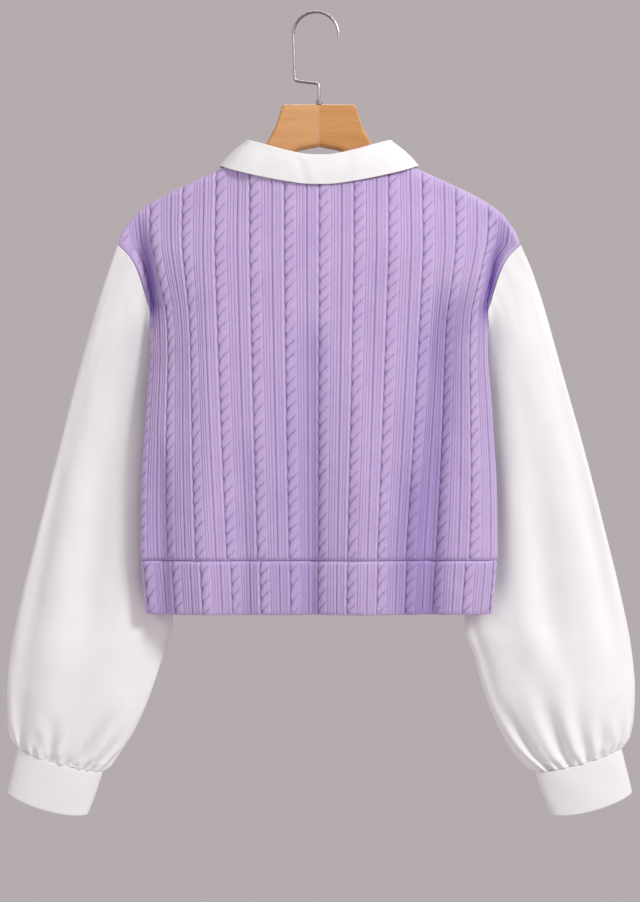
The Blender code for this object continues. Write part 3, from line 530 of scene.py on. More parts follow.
def build_wall(name, outside, inside, closed=False, round_length=0.0):
    """A skin has its across and down places, its points, and the same points on the flat cloth."""
    second = outside["points"].shape[0] * outside["points"].shape[1]
    points = np.concatenate([skin["points"].reshape(-1, 3) for skin in (outside, inside)])
    faces = []
    for skin, start in ((outside, 0), (inside, second)):
        faces += grid_faces(*skin["points"].shape[:2], start, closed)
    for first, other in zip(rim_lines(outside, 0, closed), rim_lines(inside, second, closed)):
        faces += zip_rows(first, other)

    mesh = bpy.data.meshes.new(name)
    mesh.from_pydata(points.tolist(), [], faces)
    cloth = np.concatenate([skin["cloth"].reshape(-1, 2) for skin in (outside, inside)])
    corner = np.empty(len(mesh.loops), int)
    mesh.loops.foreach_get("vertex_index", corner)
    cloth = cloth[corner]
    if closed:
        starts = np.empty(len(mesh.polygons), int)
        sizes = np.empty(len(mesh.polygons), int)
        mesh.polygons.foreach_get("loop_start", starts)
        mesh.polygons.foreach_get("loop_total", sizes)
        widest = np.repeat(np.maximum.reduceat(cloth[:, 0], starts), sizes)
        cloth[:, 0] += np.where(widest - cloth[:, 0] > round_length / 2, round_length, 0)
    mesh.uv_layers.new(name="cloth").uv.foreach_set("vector", cloth.ravel().astype(np.float32))
    for key, size in (("relief", 1), ("shade", 1), ("outward", 3)):
        if key in outside:
            plain = np.zeros((inside["points"].size // 3, size))
            values = np.concatenate([outside[key].reshape(-1, size), plain]).astype(np.float32)
            layer = mesh.attributes.new(key, "FLOAT" if size == 1 else "FLOAT_VECTOR", "POINT")
            layer.data.foreach_set("value" if size == 1 else "vector", values.ravel())
    shell = bmesh.new()
    shell.from_mesh(mesh)
    bmesh.ops.recalc_face_normals(shell, faces=shell.faces)
    shell.to_mesh(mesh)
    shell.free()
    mesh.shade_smooth()
    item = bpy.data.objects.new(name, mesh)
    bpy.context.scene.collection.objects.link(item)
    return item


def two_skins(across, down, points, normals, half, cloth, every=(3, 4)):
    """An outside with every point, and an inside with fewer."""
    inner_c = np.unique(np.append(np.arange(0, len(across), every[0]), len(across) - 1))
    edge_rows = (0, 1, 2, 3, len(down) - 4, len(down) - 3, len(down) - 2, len(down) - 1)
    inner_r = np.unique(np.append(np.arange(0, len(down), every[1]), edge_rows))
    skins = []
    for c, r, side in ((np.arange(len(across)), np.arange(len(down)), 1), (inner_c, inner_r, -1)):
        at = np.ix_(c, r)
        skins.append(
            {
                "across": across[c],
                "down": down[r],
                "points": points[at] + normals[at] * half[at][..., None] * side,
                "cloth": cloth[at],
            }
        )
    return skins


# %% [markdown]
# ## Cables and ribs
#
# The knit repeats every 38 mm: a twisted cable, then seven narrow ribs, with one deeper groove in
# their middle. A knitter makes each cable by crossing two strands every 15 mm, and each crossing
# leaves a slanted groove. The rule is the same for the whole cloth, so Geometry Nodes raise it:
# the tree reads a point's place on the flat cloth, works out the height there, and moves the point
# along its outward direction.

# %% The ribs' profile across one repeat
KNIT_REPEAT, BAND_REPEAT, CABLE_WIDTH = 0.0380, 0.0332, 0.0140
TWIST_PITCH, TWIST_CLIMB, NOTCH = 0.0146, 2.5, 0.046
SLOW_DRIFT, QUICK_DRIFT = 43.0, 127.0  # radians to the metre
RELIEF_HEIGHT, GROOVE_DEPTH, UNEVENNESS = 0.0020, 0.65, 0.18
RIB_PROFILE = table(
    "place height",  # a place is a share of the repeat, from the cable's left edge
    (0.000, 0.00),
    (0.016, 0.30),
    (0.040, 0.72),
    (0.090, 0.94),
    (0.190, 1.00),
    (0.290, 0.92),
    (0.345, 0.66),
    (0.366, 0.38),
    (0.396, 0.88),
    (0.420, 0.78),
    (0.437, 0.36),
    (0.456, 0.74),
    (0.508, 0.76),
    (0.527, 0.34),
    (0.548, 0.76),
    (0.610, 0.78),
    (0.636, 0.52),
    (0.655, 0.04),
    (0.675, 0.52),
    (0.700, 0.80),
    (0.762, 0.80),
    (0.784, 0.36),
    (0.804, 0.76),
    (0.852, 0.76),
    (0.874, 0.34),
    (0.894, 0.80),
    (0.948, 0.78),
    (0.980, 0.36),
    (1.000, 0.00),
)
# Where each groove's painted shade lies, how wide it is and how dark.
GROOVE_LINES = table(
    "place width strength",
    (0.004, 0.020, 0.95),
    (0.366, 0.014, 0.34),
    (0.437, 0.014, 0.26),
    (0.527, 0.014, 0.22),
    (0.655, 0.020, 0.80),
    (0.784, 0.014, 0.32),
    (0.874, 0.014, 0.24),
)
ON_CABLE = (0.14, 0.24)  # two more columns on its broad crest
COLUMN_PLACES = sorted([*RIB_PROFILE["place"][:-1], *ON_CABLE])


# %% Sums written as nodes
class Value:
    """A node's output that can be reckoned with: each step adds one Math node to its tree."""

    def __init__(self, tree, socket):
        self.tree, self.socket = tree, socket

    def math(self, operation, *values):
        node = self.tree.nodes.new("ShaderNodeMath")
        node.operation = operation
        for socket, value in zip(node.inputs, values or [self]):
            if isinstance(value, Value):
                self.tree.links.new(value.socket, socket)
            else:
                socket.default_value = value
        return Value(self.tree, node.outputs[0])

    def __add__(self, other):
        return self.math("ADD", self, other)

    def __radd__(self, other):
        return self.math("ADD", other, self)

    def __sub__(self, other):
        return self.math("SUBTRACT", self, other)

    def __rsub__(self, other):
        return self.math("SUBTRACT", other, self)

    def __mul__(self, other):
        return self.math("MULTIPLY", self, other)

    def __truediv__(self, other):
        return self.math("DIVIDE", self, other)

    def clamped(self):
        self.socket.node.use_clamp = True
        return self

    def wave(self):
        """The size of a sine: it touches 0 once in every pi."""
        return self.math("SINE").math("ABSOLUTE")

    def bell(self, steepness=1.0):
        """1 at 0, and falling away on both sides."""
        return (self * self * -steepness).math("EXPONENT")

    def step(self, low, high):
        """0 below low, 1 above high, and smooth between them."""
        node = self.tree.nodes.new("ShaderNodeMapRange")
        node.interpolation_type = "SMOOTHSTEP"
        node.inputs["From Min"].default_value = low
        node.inputs["From Max"].default_value = high
        self.tree.links.new(self.socket, node.inputs["Value"])
        return Value(self.tree, node.outputs["Result"])


def noise(tree, vector, scale, detail=2.0, roughness=0.5):
    node = tree.nodes.new("ShaderNodeTexNoise")
    node.inputs["Scale"].default_value = scale
    node.inputs["Detail"].default_value = detail
    node.inputs["Roughness"].default_value = roughness
    tree.links.new(vector, node.inputs["Vector"])
    return Value(tree, node.outputs["Fac"])


def split(tree, vector):
    node = tree.nodes.new("ShaderNodeSeparateXYZ")
    tree.links.new(vector, node.inputs[0])
    return [Value(tree, socket) for socket in node.outputs][:2]


# %% The start and the end of a Geometry Nodes tree
def named(tree, name, kind):
    node = tree.nodes.new("GeometryNodeInputNamedAttribute")
    node.data_type = kind
    node.inputs["Name"].default_value = name
    return node.outputs["Attribute"]


def new_tree(name, **sizes):
    """A Geometry Nodes tree with a geometry and a material input and one input for each size."""
    tree = bpy.data.node_groups.new(name, "GeometryNodeTree")
    tree.interface.new_socket("Geometry", in_out="INPUT", socket_type="NodeSocketGeometry")
    tree.interface.new_socket("Geometry", in_out="OUTPUT", socket_type="NodeSocketGeometry")
    tree.interface.new_socket("Material", in_out="INPUT", socket_type="NodeSocketMaterial")
    for key, value in sizes.items():
        socket = tree.interface.new_socket(key, in_out="INPUT", socket_type="NodeSocketFloat")
        socket.default_value = value
    inputs = tree.nodes.new("NodeGroupInput")
    return tree, {socket.name: Value(tree, socket) for socket in inputs.outputs if socket.name}


def end_tree(tree, geometry, material):
    realize = tree.nodes.new("GeometryNodeRealizeInstances")
    finish = tree.nodes.new("GeometryNodeSetMaterial")
    output = tree.nodes.new("NodeGroupOutput")
    tree.links.new(geometry, realize.inputs[0])
    tree.links.new(realize.outputs[0], finish.inputs["Geometry"])
    tree.links.new(material, finish.inputs["Material"])
    tree.links.new(finish.outputs[0], output.inputs[0])


# %% The knit's pattern
def knit_pattern(tree, across, along, groove_depth):
    """The knit's height, from 0 to 1, and the painted shade in its grooves, at a place on the flat cloth.

    across counts repeats, and along is in metres.
    """
    place, cable = across.math("FRACT"), across.math("FLOOR")

    # Each cable's crossings come a little sooner or later than its neighbours'.
    slow = (along * SLOW_DRIFT + cable * 2.3).math("SINE")
    quick = (along * QUICK_DRIFT + cable * 5.1).math("SINE")
    phase = along / TWIST_PITCH + (slow * 0.20 + quick * 0.04)

    # The cable's left edge swells between two crossings, and is notched where each groove starts.
    notch = (1.0 - (phase * math.pi).wave()) * NOTCH
    at_left = 1.0 - place.step(0.05, 0.18)
    moved = (place - notch * at_left).clamped()
    profile = tree.nodes.new("ShaderNodeFloatCurve")
    points = profile.mapping.curves[0].points
    while len(points) < len(RIB_PROFILE["place"]):
        points.new(0.5, 0.5)
    for point, x, y in zip(points, RIB_PROFILE["place"], RIB_PROFILE["height"]):
        point.location = (float(x), float(y))
        point.handle_type = "VECTOR"
    profile.mapping.update()
    tree.links.new(moved.socket, profile.inputs["Value"])
    height = Value(tree, profile.outputs[0])
    # Painted shade: a dark line along each groove, and below, along each slanted groove.
    dark = sum(
        ((moved - float(middle)) / float(width)).bell() * float(strength)
        for middle, width, strength in zip(*GROOVE_LINES.values())
    )

    # Each groove climbs to the right at about 45 degrees, and fades before the right edge.
    climb = phase - place * TWIST_CLIMB
    away = (climb + 0.5).math("FRACT") - 0.5
    on_cable = place.step(0.0, 0.02) * (1.0 - place.step(0.20, 0.38))
    lean = (climb.math("FRACT") - 0.5) * on_cable
    height = height - away.bell(70.0) * on_cable * groove_depth - lean * 0.26
    return height, (dark + away.bell(200.0) * on_cable * 0.62).clamped()


# %% The tree that raises the knit
def knit_tree():
    sizes = {"Height": RELIEF_HEIGHT, "Groove": GROOVE_DEPTH, "Unevenness": UNEVENNESS}
    tree, given = new_tree("knit relief", **sizes)
    across, along = split(tree, named(tree, "cloth", "FLOAT_VECTOR"))
    height, _ = knit_pattern(tree, across, along, given["Groove"])

    # No two stitches are drawn up alike.
    stretch = tree.nodes.new("ShaderNodeCombineXYZ")
    for number, part in enumerate((across * KNIT_REPEAT, along * 0.55)):
        tree.links.new(part.socket, stretch.inputs[number])
    waver = noise(tree, stretch.outputs[0], 260.0) - 0.5
    height = height + waver * (given["Unevenness"] * 2.0)
    lift = height * given["Height"] * Value(tree, named(tree, "relief", "FLOAT"))
    offset = tree.nodes.new("ShaderNodeVectorMath")
    offset.operation = "SCALE"
    tree.links.new(named(tree, "outward", "FLOAT_VECTOR"), offset.inputs[0])
    tree.links.new(lift.socket, offset.inputs["Scale"])
    move = tree.nodes.new("GeometryNodeSetPosition")
    tree.links.new(given["Geometry"].socket, move.inputs["Geometry"])
    tree.links.new(offset.outputs[0], move.inputs["Offset"])
    end_tree(tree, move.outputs[0], given["Material"].socket)
    return tree


KNIT_TREE = knit_tree()


def grow(item, tree, material, **sizes):
    """Run a tree on an object and keep its result as a plain mesh."""
    modifier = item.modifiers.new("grow", "NODES")
    modifier.node_group = tree
    for socket in tree.interface.items_tree:
        if socket.in_out == "INPUT" and socket.name in sizes:
            modifier[socket.identifier] = sizes[socket.name]
        if socket.in_out == "INPUT" and socket.name == "Material":
            modifier[socket.identifier] = material
    bpy.context.view_layer.update()
    seen = item.evaluated_get(bpy.context.evaluated_depsgraph_get())
    mesh = bpy.data.meshes.new_from_object(seen)
    item.modifiers.clear()
    item.data = mesh
    mesh.name = item.name
    if not mesh.materials:
        mesh.materials.append(material)
    return item


print("knit tree:", len(KNIT_TREE.nodes), "nodes")

# %% [markdown]
# ## The knit's finish
#
# Wool and acrylic yarn is matt with a soft sheen at grazing angles. Up close every rib is a stack of
# small V stitches, too many to model, so a bump draws them from the flat cloth's coordinates. The
# colour carries painted shade: it is darker in the grooves, in the folds and between the stitches.


# %% Material helpers
def new_material(name, **values):
    material = bpy.data.materials.new(name)
    material.use_nodes = True
    shader = material.node_tree.nodes["Principled BSDF"]
    for key, value in values.items():
        shader.inputs[key.replace("_", " ")].default_value = value
    return material, material.node_tree, shader


def color_ramp(tree, value, *stops):
    node = tree.nodes.new("ShaderNodeValToRGB")
    while len(node.color_ramp.elements) < len(stops):
        node.color_ramp.elements.new(0.5)
    for element, (place, color) in zip(node.color_ramp.elements, stops):
        element.position, element.color = place, (*color, 1)
    tree.links.new(value.socket, node.inputs[0])
    return node.outputs["Color"]


def bump(tree, height, distance, strength=1.0, normal=None):
    node = tree.nodes.new("ShaderNodeBump")
    node.inputs["Strength"].default_value = strength
    node.inputs["Distance"].default_value = distance
    tree.links.new(height.socket, node.inputs["Height"])
    if normal is not None:
        tree.links.new(normal, node.inputs["Normal"])
    return node.outputs["Normal"]


def attribute(tree, name):
    node = tree.nodes.new("ShaderNodeAttribute")
    node.attribute_name = name
    return Value(tree, node.outputs["Fac"])


def mixed(tree, share, first, second):
    """The first colour, with a share of the second."""
    node = tree.nodes.new("ShaderNodeMix")
    node.data_type = "RGBA"
    sockets = {socket.identifier: socket for socket in node.inputs}
    sockets["B_Color"].default_value = (*second, 1)
    tree.links.new(first, sockets["A_Color"])
    tree.links.new(share.socket, sockets["Factor_Float"])
    return {socket.identifier: socket for socket in node.outputs}["Result_Color"]


def mapped(tree, vector, scale, turn=(0, 0, 0)):
    node = tree.nodes.new("ShaderNodeMapping")
    node.inputs["Scale"].default_value = scale
    node.inputs["Rotation"].default_value = turn
    tree.links.new(vector, node.inputs["Vector"])
    return node.outputs[0]


def cloth_place(tree):
    node = tree.nodes.new("ShaderNodeUVMap")
    node.uv_map = "cloth"
    return node.outputs[0], *split(tree, node.outputs[0])


def dress(tree, shader, color, normal):
    tree.links.new(color, shader.inputs["Base Color"])
    tree.links.new(normal, shader.inputs["Normal"])


# %% The knit
WALE, COURSE = 1 / 22, 0.0021  # a stitch's width, in repeats, and its height in metres
YARN_TONES = (0.550, 0.418, 0.750), (0.685, 0.538, 0.880), (0.815, 0.680, 0.960)
# The deep purples of painted shade, in the grooves and in the folds.
GROOVE_SHADE_TONE, FOLD_SHADE_TONE = (0.235, 0.145, 0.420), (0.155, 0.070, 0.480)


def knit_finish():
    material, tree, shader = new_material(
        "lavender_knit", Roughness=0.85, Sheen_Weight=0.30, Sheen_Roughness=0.45, Specular_IOR_Level=0.2
    )
    vector, across, along = cloth_place(tree)
    height, dark = knit_pattern(tree, across, along, GROOVE_DEPTH)
    raised, shade = attribute(tree, "relief"), attribute(tree, "shade")
    even = mapped(tree, vector, (KNIT_REPEAT, 1.0, 1.0))

    # V stitches: two legs to a wale, each leaning up towards its middle.
    wale = across / WALE
    slant = (wale.math("FRACT") - 0.5).math("ABSOLUTE")
    stitch = ((along / COURSE + slant * 1.4) * math.pi).wave()
    loops = stitch * ((wale * math.pi).wave() * 0.65 + 0.35)
    fuzz = noise(tree, even, 1100.0, 3.0, 0.7)
    yarn = bump(tree, loops * 0.7 + fuzz * 0.9, 0.00085, 0.9)

    # The grooves and their painted shade come and go, as the yarn lies looser or tighter.
    patchy = noise(tree, even, 190.0, 3.0, 0.65) * 1.9
    dark = (dark * raised * patchy).clamped()
    normal = bump(tree, height * 0.4 * raised - dark * 0.7, 0.0009, 0.7, yarn)

    # The tone is random melange, and lighter on each stitch's loops than between them: that part is painted
    # shade.
    melange, broad = noise(tree, even, 560.0, 4.0, 0.7), noise(tree, even, 24.0)
    tone = (melange * 0.6 + broad * 0.4) * 0.60 + loops * 0.40
    light = color_ramp(tree, tone, *zip((0.25, 0.55, 0.80), YARN_TONES))
    # Painted shade: the grooves are darkened towards a deep purple.
    groove_shaded = mixed(tree, dark * 0.70, light, GROOVE_SHADE_TONE)
    # Painted shade: the folds, and the deep fold beside each armhole, darken the colour.
    dress(tree, shader, mixed(tree, shade * 0.92, groove_shaded, FOLD_SHADE_TONE), normal)
    return material


LAVENDER_KNIT = knit_finish()
print("material:", LAVENDER_KNIT.name)

# %% [markdown]
# ## The knitted pieces
#
# Four pieces are knitted and cut: the back, the front and a hem band under each. Their columns of
# points follow the ribs, so that every crest and every groove has points of its own. Where a piece
# meets a seam its relief dies away, because the seam pulls it flat, and the cloth tucks in there.


# %% Finer folds than the body's form has
# Each runs down through its points (x, z), with a depth and a width. A negative depth stands out.
DEEPEST, FOLD_FADE = 0.0046, 0.060
FINE_FOLDS = {
    "back": (
        (((-0.0088, -0.320), (-0.0088, -0.420), (-0.0088, -0.661)), 0.0024, 0.0085),
        (
            ((0.1420, -0.290), (0.1364, -0.348), (0.1309, -0.444), (0.1221, -0.499), (0.1170, -0.661)),
            DEEPEST, 0.0115,
        ),
        (((0.1000, -0.480), (0.0970, -0.560), (0.0924, -0.661)), 0.0024, 0.0075),
        (((-0.1749, -0.450), (-0.1700, -0.560), (-0.1672, -0.661)), 0.0024, 0.0080),
        (((-0.0374, -0.400), (-0.0374, -0.661)), 0.0010, 0.0075),
        (((-0.0792, -0.440), (-0.0792, -0.661)), 0.0012, 0.0075),
        (((-0.1232, -0.380), (-0.1232, -0.661)), -0.0014, 0.0075),
        (((0.0484, -0.380), (0.0484, -0.661)), -0.0016, 0.0080),
        (((0.1640, -0.330), (0.1610, -0.661)), -0.0014, 0.0070),
    ),
    "front": (
        (((-0.1420, -0.380), (-0.1330, -0.661)), 0.0026, 0.0070),
        (((-0.0410, -0.400), (-0.0380, -0.661)), 0.0022, 0.0065),
        (((0.0880, -0.360), (0.0820, -0.661)), 0.0030, 0.0070),
        (((0.0250, -0.440), (0.0260, -0.661)), -0.0014, 0.0080),
        (((-0.0950, -0.460), (-0.0900, -0.661)), -0.0014, 0.0080),
    ),
}

# Where the deep fold beside each armhole lies, and how dark its painted shade is; FOLD_DARKNESS is how dark
# the finer folds' painted shade is.
SHADE_OUTSIDE, SHADE_INSIDE, FOLD_DARKNESS = 0.0075, 0.0085, 0.36
ARMHOLE_SHADE = table(
    "z left right shade",
    (-0.2200, 0.1960, 0.2050, 0.00),
    (-0.2440, 0.1930, 0.2015, 0.34),
    (-0.2640, 0.1892, 0.1975, 0.62),
    (-0.2850, 0.1865, 0.1935, 0.85),
    (-0.3050, 0.1845, 0.1900, 1.00),
    (-0.3230, 0.1828, 0.1860, 1.00),
    (-0.3380, 0.1835, 0.1850, 0.35),
    (-0.3550, 0.1850, 0.1850, 0.00),
)
armhole_shade, shade_left, shade_right = (
    curve(ARMHOLE_SHADE, "z", name) for name in ("shade", "left", "right")
)


def fine_fold(face, x, z, widened=1.0):
    fall = np.zeros_like(x)
    for path, deep, width in FINE_FOLDS[face]:
        xs, zs = np.array(path[::-1]).T
        along = smooth_step((zs[-1] - z) / FOLD_FADE)
        fall += deep * along * np.exp(-(((x - np.interp(z, zs, xs)) / (width * widened)) ** 2))
    return fall


def fold_shade(face, x, z):
    """How deep in a fold each point lies, from 0 to 1: painted shade, which deepens the yarn's purple there.
    """
    shade = np.maximum(fine_fold(face, x, z, 2.3), 0) / DEEPEST * FOLD_DARKNESS
    reach, middle = np.abs(x), np.where(x < 0, shade_left(z), shade_right(z))
    side = np.where(reach < middle, SHADE_INSIDE, SHADE_OUTSIDE)
    armhole = np.exp(-(((reach - middle) / side) ** 2)) * armhole_shade(z)
    return np.clip(np.maximum(shade, armhole), 0, 1)


# %% Make a knitted piece
def column_places(half, repeat, first_cable):
    left_edge = first_cable - CABLE_WIDTH / 2
    places = [left_edge + (n + p) * repeat for n in range(-9, 10) for p in COLUMN_PLACES]
    rim = [half - d for d in (0, 0.0003, 0.0009, 0.0018)]
    inner = [u for u in places if abs(u) < half - 0.0024]
    return np.array([-u for u in rim] + inner + rim[::-1])


def row_places(length, step, top, bottom=(0.0016, 0.0009, 0.0003, 0.0)):
    """Shares of the way down: fine near both rims, and every step between."""
    middle = np.linspace(top[-1], length - bottom[0], int(length / step))
    return np.concatenate([np.array(top[:-1]), middle[:-1], length - np.array(bottom)]) / length


def knit_piece(name, face, half, grain_half, bottom_z, top_z, repeat, first_cable):
    out = FACING[face]
    is_band = top_z is not None
    longest = top_z - bottom_z if is_band else PANEL_LENGTH
    across = column_places(half, repeat, first_cable)
    down = row_places(longest, ROW_STEP, (0, 0.0003, 0.0009, 0.0018, 0.0030, 0.0044))
    points = hang_panel(face, across, down, half, grain_half, bottom_z, top_z)
    points[..., 0] += MIDDLE_X
    normals = grid_normals(points) * out

    # Where two pieces meet rim to rim, each rim stays square to the seam.
    reach, z = np.abs(points[..., 0] - MIDDLE_X), points[..., 2]
    to_side = (half - np.abs(across))[:, None] + 0 * z
    from_top = (points[:, :1, 2] - points[:, -1:, 2]) * down[None, :]
    from_bottom = (points[:, :1, 2] - points[:, -1:, 2]) - from_top
    on_side = (to_side < 0.0004) & (z < ARMPIT_Z + 0.004)
    normals[..., 1] *= np.where(on_side, 0, 1)
    if is_band:
        normals[:, 0, 2] = 0
    else:
        normals[reach[:, 0] > NECK_X - 0.001, 0, 1] = 0
    normals[:, -1, 2] = 0
    normals = unit(normals)

    relief = np.clip(from_top / (0.003 if is_band else 0.007), 0, 1) * np.clip(from_bottom / 0.003, 0, 1)
    relief *= np.clip(to_side / 0.004, 0, 1)

    # The seam between a panel and its band is drawn in, and the band swells between its edges.
    from_seam = from_top if is_band else from_bottom
    drawn_in = SEAM_DEPTH * np.exp(-((from_seam / SEAM_REACH) ** 2))
    if is_band:
        drawn_in = drawn_in - BAND_SWELL * np.sin(math.pi * down)[None, :]
    to_rim = smooth_step(np.minimum(to_side / 0.012, 1))
    drawn_in = drawn_in + fine_fold(face, points[..., 0] - MIDDLE_X, z) * to_rim
    points = points - normals * drawn_in[..., None]

    half_wall = rounded(np.minimum(np.minimum(from_top, from_bottom), to_side), KNIT_WALL / 2)
    turns = (across - first_cable + CABLE_WIDTH / 2) / repeat
    cloth = np.stack([turns[:, None] + 0 * z, z - HEM_SEAM_Z], -1)
    skins = two_skins(across, down, points, normals, half_wall, cloth)
    skins[0]["relief"], skins[0]["outward"] = relief, normals
    # Painted shade of the folds, for the knit's colour.
    skins[0]["shade"] = fold_shade(face, points[..., 0] - MIDDLE_X, z)
    item = build_wall(name, *skins)
    grow(item, KNIT_TREE, LAVENDER_KNIT, Height=RELIEF_HEIGHT)
    tell(item, points)
    return item


# %% Knit the back, the front and their bands
ROW_STEP, PANEL_LENGTH = 0.0020, 0.4400
PANEL_HALF, GRAIN_HALF, BAND_HALF = 0.2270, 0.1300, 0.2050
FIRST_CABLE, BAND_FIRST_CABLE = 0.0066, 0.0060
SEAM_DEPTH, SEAM_REACH, BAND_SWELL = 0.0011, 0.0024, 0.0005
knits = {}
for face in FACING:
    panel = (PANEL_HALF, GRAIN_HALF, HEM_SEAM_Z, None, KNIT_REPEAT, FIRST_CABLE)
    band = (BAND_HALF, 0.0, HEM_Z, HEM_SEAM_Z - SEAM_GAP, BAND_REPEAT, BAND_FIRST_CABLE)
    knits[face + "_panel"] = knit_piece("knit_" + face, face, *panel)
    knits["hem_band_" + face] = knit_piece("knit_band_" + face, face, *band)

# %% Attach each knitted piece to the model, and hide the solid it replaces
for node, item in knits.items():
    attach(item, "root")
    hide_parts(node)
    if node.endswith("_panel"):
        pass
    else:
        "knit_" + node.split("_")[2]

# %% [markdown]
# ## Shirt cloth
#
# The collar, the sleeves and the cuffs are white cotton in a plain weave, close and smooth. Its
# threads are too fine to model, so a bump weaves them from the flat cloth's coordinates, and a
# second, slower bump leaves the faint unevenness of cloth that has been worn and pressed.


# %% The white cloth's finish
# The second is the grey of painted shade, in the puckers and in the body's shadow on the sleeves.
THREAD, CREASE_SHADE_GREY = 0.00042, (0.44, 0.42, 0.47)


def shirt_finish(name, press, shadow, light):
    material, tree, shader = new_material(
        name, Roughness=0.78, Sheen_Weight=0.12, Sheen_Roughness=0.4, Specular_IOR_Level=0.25
    )
    vector, across, along = cloth_place(tree)
    warp, weft = ((way * (math.tau / THREAD)).math("SINE") for way in (across, along))
    slub = noise(tree, vector, 900.0, 3.0, 0.6)
    fine = bump(tree, warp * weft * 0.5 + slub, 0.00008, 0.6)
    crinkle = noise(tree, mapped(tree, vector, (1.0, 0.35, 1.0)), 30.0, 0.8)
    tone = slub * 0.5 + noise(tree, vector, 14.0, 3.0) * 0.5
    color = color_ramp(tree, tone, (0.3, shadow), (0.7, light))
    # Painted shade: the cloth greys where its shade attribute says, in puckers and in the body's shadow.
    folded = mixed(tree, attribute(tree, "shade") * 0.9, color, CREASE_SHADE_GREY)
    dress(tree, shader, folded, bump(tree, crinkle, press, 0.8, fine))
    return material


SLEEVE_CLOTH = shirt_finish("white_sleeve_cloth", 0.0036, (0.820, 0.824, 0.830), (0.918, 0.922, 0.918))
PRESSED_CLOTH = shirt_finish("white_pressed_cloth", 0.0012, (0.810, 0.825, 0.835), (0.885, 0.895, 0.900))
print("materials:", SLEEVE_CLOTH.name, PRESSED_CLOTH.name)

# %% [markdown]
# ## Sleeves
#
# A bishop sleeve is cut wide and gathered into a narrow cuff. Hung up it becomes a flat, slack tube.
# The gathers are small puckers that start at the cuff's seam, run up for a few centimetres and
# widen and fade on the way. Each has its own place, length and lean, so they are listed one by one
# from the photograph, and the front, which it hides, gets others like them.

# %% The sleeve's and the cuff's form
SLEEVE = table(
    "t outer_x outer_z inner_x inner_z y depth sag",
    (0.00, 0.2223, -0.2545, 0.1872, -0.3305, 0.0140, 0.0080, 0.0000),
    (0.05, 0.2316, -0.2860, 0.1868, -0.3430, 0.0180, 0.0100, 0.0000),
    (0.12, 0.2462, -0.3370, 0.1780, -0.3690, 0.0230, 0.0120, 0.0000),
    (0.22, 0.2646, -0.4030, 0.1725, -0.4270, 0.0262, 0.0125, 0.0000),
    (0.36, 0.2876, -0.4860, 0.1685, -0.5130, 0.0272, 0.0130, 0.0000),
    (0.50, 0.3103, -0.5750, 0.1645, -0.6040, 0.0276, 0.0140, 0.0000),
    (0.62, 0.3266, -0.6410, 0.1625, -0.6702, 0.0278, 0.0165, 0.0000),
    (0.74, 0.3388, -0.7014, 0.1755, -0.7135, 0.0278, 0.0190, 0.0010),
    (0.84, 0.3430, -0.7477, 0.1898, -0.7558, 0.0276, 0.0200, 0.0020),
    (0.92, 0.3418, -0.7790, 0.2062, -0.7922, 0.0274, 0.0180, 0.0030),
    (0.965, 0.3380, -0.7972, 0.2225, -0.8166, 0.0272, 0.0155, 0.0038),
    (1.00, 0.3311, -0.8112, 0.2406, -0.8368, 0.0270, 0.0128, 0.0042),
)
CUFF = table(
    "t outer_x outer_z inner_x inner_z y depth sag",
    (0.0, 0.3311, -0.8113, 0.2406, -0.8369, 0.0270, 0.0128, 0.0042),
    (1.0, 0.3411, -0.8610, 0.2566, -0.8848, 0.0270, 0.0124, 0.0070),
)
# The two sleeves never hang quite alike: how far each one's edges lie outside that even form.
SLEEVE_STRAY = {
    -1: table(
        "t outer inner",
        (0.00, 0.0000, 0.0000),
        (0.05, 0.0020, 0.0000),
        (0.12, 0.0045, 0.0000),
        (0.22, 0.0046, 0.0000),
        (0.36, 0.0026, 0.0000),
        (0.84, 0.0030, 0.0000),
        (1.00, 0.0024, 0.0000),
    ),
    1: table(
        "t outer inner",
        (0.00, 0.0000, 0.0000),
        (0.05, 0.0048, 0.0000),
        (0.12, 0.0074, 0.0000),
        (0.50, 0.0084, 0.0000),
        (0.70, 0.0080, -0.0010),
        (0.84, 0.0076, -0.0036),
        (0.965, 0.0060, -0.0046),
        (1.00, 0.0040, 0.0000),
    ),
}
CUFF_STRAY = {
    -1: table("t outer inner", (0.0, 0.0024, 0.0000), (1.0, 0.0044, 0.0012)),
    1: table("t outer inner", (0.0, 0.0040, 0.0000), (1.0, 0.0060, 0.0016)),
}
ARMPIT_OPENING, ARMHOLE_FADE = 0.0180, 0.14


def tube_section(rows, strays, side, angle, t):
    at = {name: curve(rows, "t", name)(t) for name in rows if name != "t"}
    outer_x, inner_x = (at[name + "_x"] + curve(strays[side], "t", name)(t) for name in ("outer", "inner"))
    share = (1 - np.cos(angle)) / 2
    x = outer_x + (inner_x - outer_x) * share
    y = at["y"] - at["depth"] * np.sin(angle)
    z = at["outer_z"] + (at["inner_z"] - at["outer_z"]) * share - at["sag"] * np.abs(np.sin(angle)) ** 1.5
    return np.stack([side * x, y, z], -1)


def armhole_rim(side, angle):
    """The armhole's edge, which the sleeve is sewn to."""
    share = (1 - np.cos(angle)) / 2
    z = TIP_Z + (ARMPIT_Z - TIP_Z) * share
    at_back = angle <= math.pi
    x = side * edge_x(z)
    rims = {face: hang_point(face, x, z) for face in FACING}
    rim = np.where(at_back[..., None], rims["back"], rims["front"])
    rim[..., 0] += side * (0.0010 + 0.0010 * share**3)
    middle = (armhole_y["back"](z) + armhole_y["front"](z)) / 2
    opening = np.minimum(ARMPIT_OPENING * np.sqrt(1 - share), 0.0040)
    too_near = (share > 0.5) & (np.abs(rim[..., 1] - middle) < opening)
    rim[..., 1] = np.where(too_near, middle + np.where(at_back, -1, 1) * opening, rim[..., 1])
    return rim


